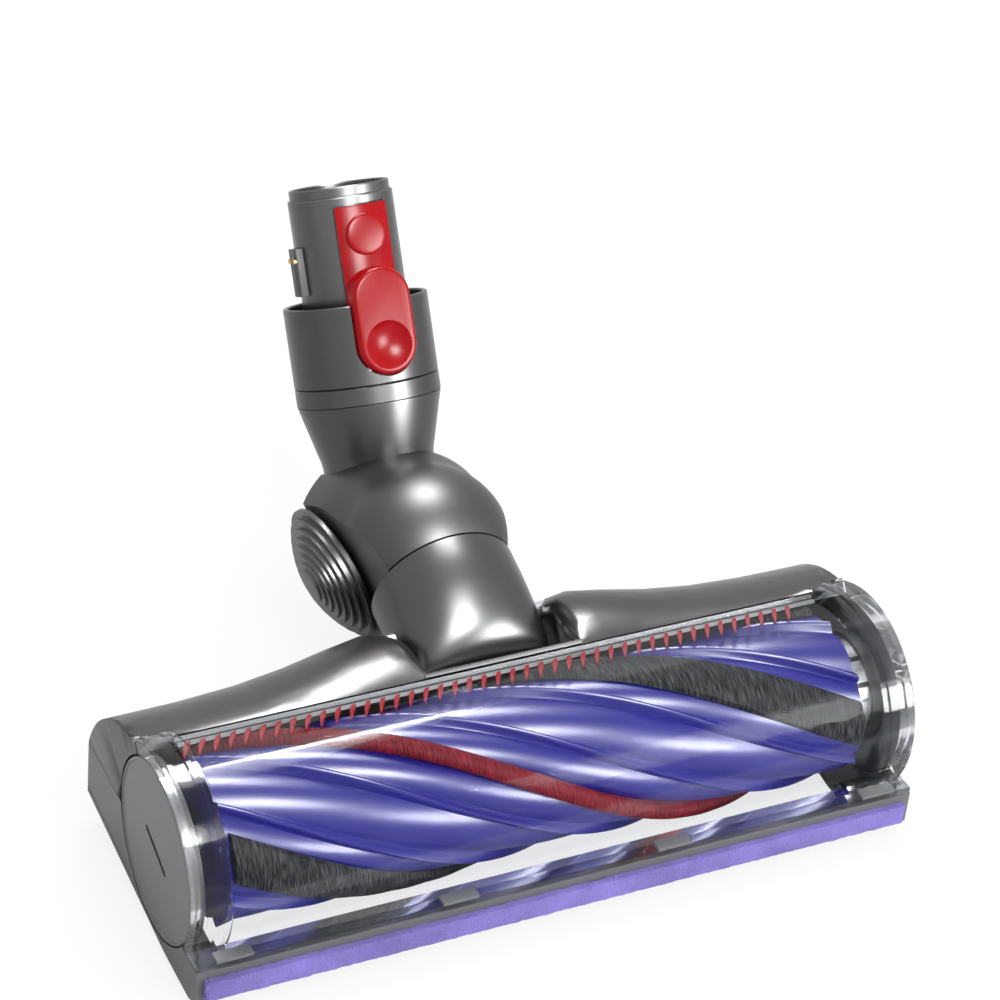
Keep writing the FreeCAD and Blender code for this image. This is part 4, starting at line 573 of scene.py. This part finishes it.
def dome(name, inset, inside):
    """The dome's outside, or its room when set in, cut by the two wheel planes."""
    bpy.ops.object.select_all(action="DESELECT")
    bpy.ops.mesh.primitive_uv_sphere_add(segments=96, ring_count=64,
                                         radius=(DOME_RADIUS - inset) * MM,
                                         rotation=(math.radians(90), 0, 0),
                                         location=(0, -DOME_BACK * MM, DOME_UP * MM))
    piece = bpy.context.active_object
    piece.name = name
    bpy.ops.object.transform_apply(location=True, rotation=True, scale=True)
    bpy.ops.object.mode_set(mode="EDIT")
    bpy.ops.mesh.select_all(action="SELECT")
    bpy.ops.mesh.bisect(plane_co=(0, -DOME_BACK * MM, 0), plane_no=(0, 1, 0), clear_outer=True)
    pick(piece, lambda x, y, z: y > -DOME_BACK - 0.05)
    widths = [DOME_RADIUS, 29.4, 30.3, 31.5, 32.5, 33, 33]
    for before, after, deep in zip(widths, widths[1:], (3.6, 3.6, 3.6, 3.6, 7.2, 13.4)):
        grown = (after - inset) / (before - inset)
        pull(y=deep)
        bpy.ops.transform.resize(value=(grown, 1, grown), center_override=(0, 0, DOME_UP * MM))
    bpy.ops.mesh.edge_face_add()
    leave(inside)
    return piece


room = dome("yoke_room", YOKE_WALL, WHEEL_GAP + YOKE_WALL)
closed_up()
gap = begin("neck_room")
trace([(0, 0, -50), (19.8, 0, -50), (19.8, 0, 33), (25.5, 0, 56), (0, 0, 56)])
spun((0, 0, 1))
leave(WHEEL_GAP + YOKE_WALL)
closed_up()
rear = begin("neck_back_room")
trace([(-19.4, 0, -50), (19.4, 0, -50), (19.4, 0, 60), (-19.4, 0, 60)])
filled(rear)
pull(y=60)
leave(WHEEL_GAP + YOKE_WALL)
closed_up()
yoke = dome("yoke_shell", 0, WHEEL_GAP)
bpy.ops.mesh.select_all(action="SELECT")
bpy.ops.mesh.bisect(plane_co=(0, -0.04119, -0.00397),
                    plane_no=(0, math.cos(swivel_lean), math.sin(swivel_lean)),
                    clear_inner=True, use_fill=True)
bpy.ops.mesh.select_all(action="SELECT")
bpy.ops.mesh.normals_make_consistent(inside=False)
carve(yoke, room, gap, rear)
yoke_metal = Finish("yoke_metal", (0.075, 0.075, 0.076), 0.4, metallic=0.9)
yoke_metal.worn((0.95, 1.05), (0.38, 0.44), size=1600, depth=0.000002)
done(yoke, yoke_metal, "swivel", NECK, ("yoke",), 30)
smoothed("swivel_ring", plug_dark, "swivel")
for name in ("wheel_axle_left", "wheel_axle_right", "neck_pin_left", "neck_pin_right"):
    smoothed(name, steel, "swivel")

# Wheels: two grey domes in fine terraces, each moulded in one piece. They lean in below
# and turn on steel axles that are fixed in the yoke.
WHEEL_RADIUS = 24.3
TERRACE = 2.6
wheel_grey = Finish("wheel_grey", (0.1, 0.1, 0.102), 0.34, metallic=0.85)
wheel_grey.worn((0.9, 1.1), (0.28, 0.38), size=1200, depth=0.000004)
for side, word in ((-1, "left"), (1, "right")):
    wheel = begin("wheel_%s_dome" % word)
    profile = [(0, 0), (23.9, 0), (WHEEL_RADIUS, 0.4), (WHEEL_RADIUS, 1.8), (24.1, 2.1),
               (23.9, 2.2)]
    for count, rise in enumerate((4.2, 5.8, 7.1, 8.2, 9.1, 9.8, 10.5), 1):
        lip = WHEEL_RADIUS - TERRACE * count
        profile += [(lip + 0.25, profile[-1][1] - 0.1), (lip, profile[-1][1] + 0.15),
                    (lip - 0.1, rise - 0.3), (lip - 0.3, rise - 0.05), (lip - 0.6, rise)]
    profile += [(0, 10.5)]
    trace([(r, 0, h) for r, h in profile])
    spun((0, 0, 1))
    stand = [Matrix.Rotation(side * (math.radians(90) + CAMBER), 4, "Y"),
             Matrix.Translation((side * WHEEL_OFFSET * MM, 0, 0))]
    done(wheel, wheel_grey, word + "_wheel", stand + NECK, ("wheel_" + word,), 24)

# Upper neck: a flared shell, a plain ring and a collar, each moulded round and glued to
# the next, and painted like the tube. Thin dark gaps part them.
cone = begin("neck_cone_shell")
trace([(17.0, 0, 14), (18.4, 0, 14), (18.7, 0, 14.4), (18.9, 0, 34), (19.3, 0, 36.5),
       (20.0, 0, 39), (24.3, 0, 55.4), (24.3, 0, 55.9), (20.2, 0, 55.9), (17.0, 0, 33),
       (17.0, 0, 14)])
spun((0, 0, 1), 128)
done(cone, neck_metal, "upper_neck", NECK, ("neck_cone",), 24)
ring = begin("neck_ring_band")
trace([(20.2, 0, 56.0), (24.2, 0, 56.0), (24.5, 0, 56.3), (24.5, 0, 61.9), (24.2, 0, 62.2),
       (15.6, 0, 62.2), (15.6, 0, 60.3), (20.2, 0, 60.3), (20.2, 0, 56.0)])
spun((0, 0, 1), 128)
done(ring, neck_metal, "upper_neck", NECK, ("neck_ring",), 24)


def pill(name, half, low, high, front, deep):
    """A block with round ends, standing along the neck."""
    piece = begin(name)
    points = []
    for start, centre in ((0, high - half), (math.pi, low + half)):
        for step in range(25):
            angle = start + math.pi * step / 24
            points.append((half * math.cos(angle), front, centre + half * math.sin(angle)))
    trace(points)
    filled(piece)
    pull(y=deep)
    return piece


latch_slot = pill("latch_slot", half=10.6, low=64.6, high=130, front=-30, deep=18)
closed_up()
collar = begin("collar_cup")
trace([(17.7, 0, 62.4), (24.2, 0, 62.4), (24.5, 0, 62.7), (24.5, 0, 89.1), (24.1, 0, 89.5),
       (23.2, 0, 89.5), (22.8, 0, 89.1), (22.8, 0, 64.3), (17.7, 0, 64.3), (17.7, 0, 62.4)])
spun((0, 0, 1), 160)
carve(collar, latch_slot)
done(collar, neck_metal, "upper_neck", NECK, ("collar",), 24)

# Connector tube: the lighter plug end that slides into the wand, with a stepped lip and a
# shallow recess for the latch. It is moulded in one piece and fixed in the collar.
connector_grey = Finish("connector_grey", (0.12, 0.12, 0.122), 0.3, metallic=0.9)
connector_grey.worn((0.95, 1.05), (0.27, 0.34), size=1500, depth=0.000003)


def bowed(name, inner, outer, half, low, high):
    """A strip that follows the round of the connector tube at its front."""
    piece = begin(name)
    angle = math.asin(half / outer)
    corners = [(inner, low), (outer, low), (outer, high), (inner, high), (inner, low)]
    trace([(-r * math.sin(angle), -r * math.cos(angle), z) for r, z in corners])
    spun((0, 0, 1), 24, 2 * math.degrees(angle))
    for side in (-1, 1):
        filled(piece, lambda x, y, z: abs(math.atan2(x, -y) - side * angle) < 0.0005)
    return piece


recess = bowed("latch_recess", inner=16.7, outer=19, half=9.7, low=64.9, high=122.3)
closed_up()
connector = begin("connector_sleeve")
trace([(15.6, 0, 62.3), (17.6, 0, 62.3), (17.7, 0, 62.6), (17.7, 0, 124.6), (17.4, 0, 125),
       (16.9, 0, 125.2), (16.9, 0, 128), (16.6, 0, 128.4), (15.9, 0, 128.4), (15.6, 0, 128),
       (15.6, 0, 62.3)])
spun((0, 0, 1), 160)
carve(connector, recess)
done(connector, connector_grey, "upper_neck", NECK, ("connector_tube",), 24)
rail_grey = Finish("rail_grey", (0.1, 0.1, 0.103), 0.45)
rail_grey.worn((0.8, 1.3), (0.4, 0.6))
smoothed("contact_block", rail_grey, "upper_neck")
contact_gold = Finish("contact_gold", (0.8, 0.55, 0.2), 0.25, metallic=1.0)
contact_gold.worn((0.9, 1.1), (0.2, 0.3))
smoothed("contact_pins", contact_gold, "upper_neck")
rod_half = 10.9
rod_radius = 0.9
rod_front = -21
rod_up = 67.5
latch_rod = begin("latch_pin_rod")
trace([(x, rod_front + out, rod_up) for x, out in (
    (-rod_half, 0), (-rod_half, rod_radius), (rod_half, rod_radius), (rod_half, 0))])
spun((1, 0, 0), 24, centre=(0, rod_front, rod_up))
done(latch_rod, steel, "upper_neck", NECK, ("latch_pin",))
smoothed("latch_spring", steel, "upper_neck")

# Release latch: a red glossy rocker, moulded in one piece: a plate bowed like the tube
# with a round catch bump, and a long thumb button with a dish at its lower end.
latch_red = Finish("latch_red", (0.46, 0.003, 0.008), 0.24, shine=0.16)
latch_red.worn((0.93, 1.06), (0.22, 0.3), size=1200, depth=0.000002)
dish = begin("thumb_dish")
bpy.ops.mesh.delete(type="VERT")
bpy.ops.mesh.primitive_uv_sphere_add(segments=64, ring_count=32, radius=0.014,
                                     location=(0, -0.0371, 0.0751))
closed_up()
button = pill("latch_button", half=10.1, low=65.1, high=101, front=-25.7, deep=7.2)
pick(button, lambda x, y, z: y < -25.6)
bpy.ops.mesh.bevel(offset=0.0013, segments=4, affect="EDGES")
closed_up()
carve(button, dish)
done(button, latch_red, "latch", NECK, ("release_latch",), 30)
plate = bowed("latch_plate", inner=17.9, outer=19.2, half=9.2, low=84, high=121.8)
bpy.ops.mesh.select_all(action="SELECT")
bpy.ops.mesh.remove_doubles(threshold=JOIN)
pick(plate, lambda x, y, z: z > 121.7 and math.hypot(x, y) > 19.1)
bpy.ops.mesh.bevel(offset=0.0004, segments=2, affect="EDGES")
done(plate, latch_red, "latch", NECK, ("release_latch",), 30)
bump_up = 0.1119
bump = begin("latch_bump")
trace([(0, -18.6, 0), (7, -18.6, 0), (7, -19.2, 0), (6.85, -19.5, 0), (6.5, -19.7, 0),
       (5.6, -19.85, 0), (3.8, -20.0, 0), (1.8, -20.08, 0), (0, -20.1, 0)])
spun((0, 1, 0), 64)
done(bump, latch_red, "latch", [Matrix.Translation((0, 0, bump_up))] + NECK,
     ("release_latch",), 40)

# Small rollers: four dark soft tyres under the sole's corners, which keep the sole off
# the floor. Each turns on a steel pin that is pressed into the sole.
tyre_grey = Finish("tyre_grey", (0.07, 0.07, 0.072), 0.6)
tyre_grey.worn((0.8, 1.2), (0.5, 0.7))
for i, name in enumerate(("roller_front_left", "roller_front_right", "roller_rear_left",
                          "roller_rear_right"), 1):
    smoothed(name, tyre_grey, "sole_roller_%d" % i)

# Floor, light and camera: a pale sheet under soft lamps, seen from the front left. Three
# of the lamps light the object, and three more only show as reflections in it.
floor_share = 0.8
floor_glow = 1.06
bpy.ops.object.select_all(action="DESELECT")
bpy.ops.mesh.primitive_plane_add(size=6, location=(0, 0, -0.0005))
floor = bpy.context.active_object
floor.name = "floor"
floor_white = Finish("floor_white", (0.9, 0.9, 0.9), 0.9)
floor_white.worn((0.99, 1.0), (0.88, 0.95), size=400, depth=0.0)
seen = floor_white.node("ShaderNodeLightPath", output="Is Camera Ray")
glow = floor_white.node("ShaderNodeEmission", None, Color=(1, 1, 1, 1), Strength=floor_glow)
cast = floor_white.tree.nodes.new("ShaderNodeMixShader")
floor_white.tree.links.new((seen * floor_share).socket, cast.inputs[0])
floor_white.tree.links.new(floor_white.shader.outputs[0], cast.inputs[1])
floor_white.tree.links.new(glow.socket, cast.inputs[2])
floor_white.tree.links.new(cast.outputs[0],
                           floor_white.tree.nodes["Material Output"].inputs["Surface"])
dress(floor_white, floor)
world = bpy.data.worlds.new("studio")
bpy.context.scene.world = world
world.use_nodes = True
sky = world.node_tree.nodes["Background"]
path = world.node_tree.nodes.new("ShaderNodeLightPath")
direct = path.outputs["Is Camera Ray"]
for ray in ("Is Glossy Ray", "Is Transmission Ray"):
    either = world.node_tree.nodes.new("ShaderNodeMath")
    either.operation = "MAXIMUM"
    world.node_tree.links.new(direct, either.inputs[0])
    world.node_tree.links.new(path.outputs[ray], either.inputs[1])
    direct = either.outputs[0]
strength = world.node_tree.nodes.new("ShaderNodeMapRange")
strength.inputs["To Min"].default_value = 0.35
strength.inputs["To Max"].default_value = 1.0
world.node_tree.links.new(direct, strength.inputs["Value"])
world.node_tree.links.new(strength.outputs[0], sky.inputs["Strength"])
sky.inputs["Color"].default_value = (1, 1, 1, 1)
lamp_target = Vector((0, 0, 0.05))
for name, spot, size, power, soft in (
        ("front", (0.72, -0.95, 0.45), 0.5, 6.0, True),
        ("key", (-0.1, -0.75, 1.1), 0.5, 5.0, True),
        ("top", (0.12, 0.42, 1.05), 0.5, 4.5, True),
        ("gloss_front", (0.62, -1.0, 0.36), 0.45, 17.0, False),
        ("gloss_key", (0.02, -0.86, 0.98), 0.42, 26.0, False),
        ("gloss_top", (0.14, 0.5, 1.05), 0.45, 20.0, False)):
    lamp = bpy.data.lights.new(name, "AREA")
    lamp.size = size
    lamp.energy = power
    holder = bpy.data.objects.new(name, lamp)
    bpy.context.scene.collection.objects.link(holder)
    holder.location = spot
    holder.visible_diffuse = soft
    holder.rotation_euler = (lamp_target - Vector(spot)).to_track_quat("-Z", "Y").to_euler()
# The camera stands where the photograph was taken from. Its focal length and the object's
# place in the picture are in pixels of a picture 1000 wide.
picture_width = 1000
focal_length = 3415
left_by = 23.7
down_by = 263.1
reach = 1.09
turn, rise, roll = (math.radians(angle) for angle in (-28.5, 36, 6.1))
toward = Vector((math.sin(turn) * math.cos(rise), -math.cos(turn) * math.cos(rise),
                 math.sin(rise)))
level = Vector((math.cos(turn), math.sin(turn), 0))
upright = toward.cross(level)
right = level * math.cos(roll) + upright * math.sin(roll)
above = upright * math.cos(roll) - level * math.sin(roll)
pixel = reach / focal_length
eye = AXIS + toward * reach - right * (left_by * pixel) + above * (down_by * pixel)
camera = bpy.data.cameras.new("camera")
camera.sensor_width = 36
camera.lens = focal_length / picture_width * 36
camera.clip_start = 0.05
viewer = bpy.data.objects.new("camera", camera)
bpy.context.scene.collection.objects.link(viewer)
viewer.matrix_world = Matrix((
    (right.x, above.x, toward.x, eye.x), (right.y, above.y, toward.y, eye.y),
    (right.z, above.z, toward.z, eye.z), (0, 0, 0, 1)))
bpy.context.scene.camera = viewer
bpy.context.scene.view_settings.view_transform = "Standard"
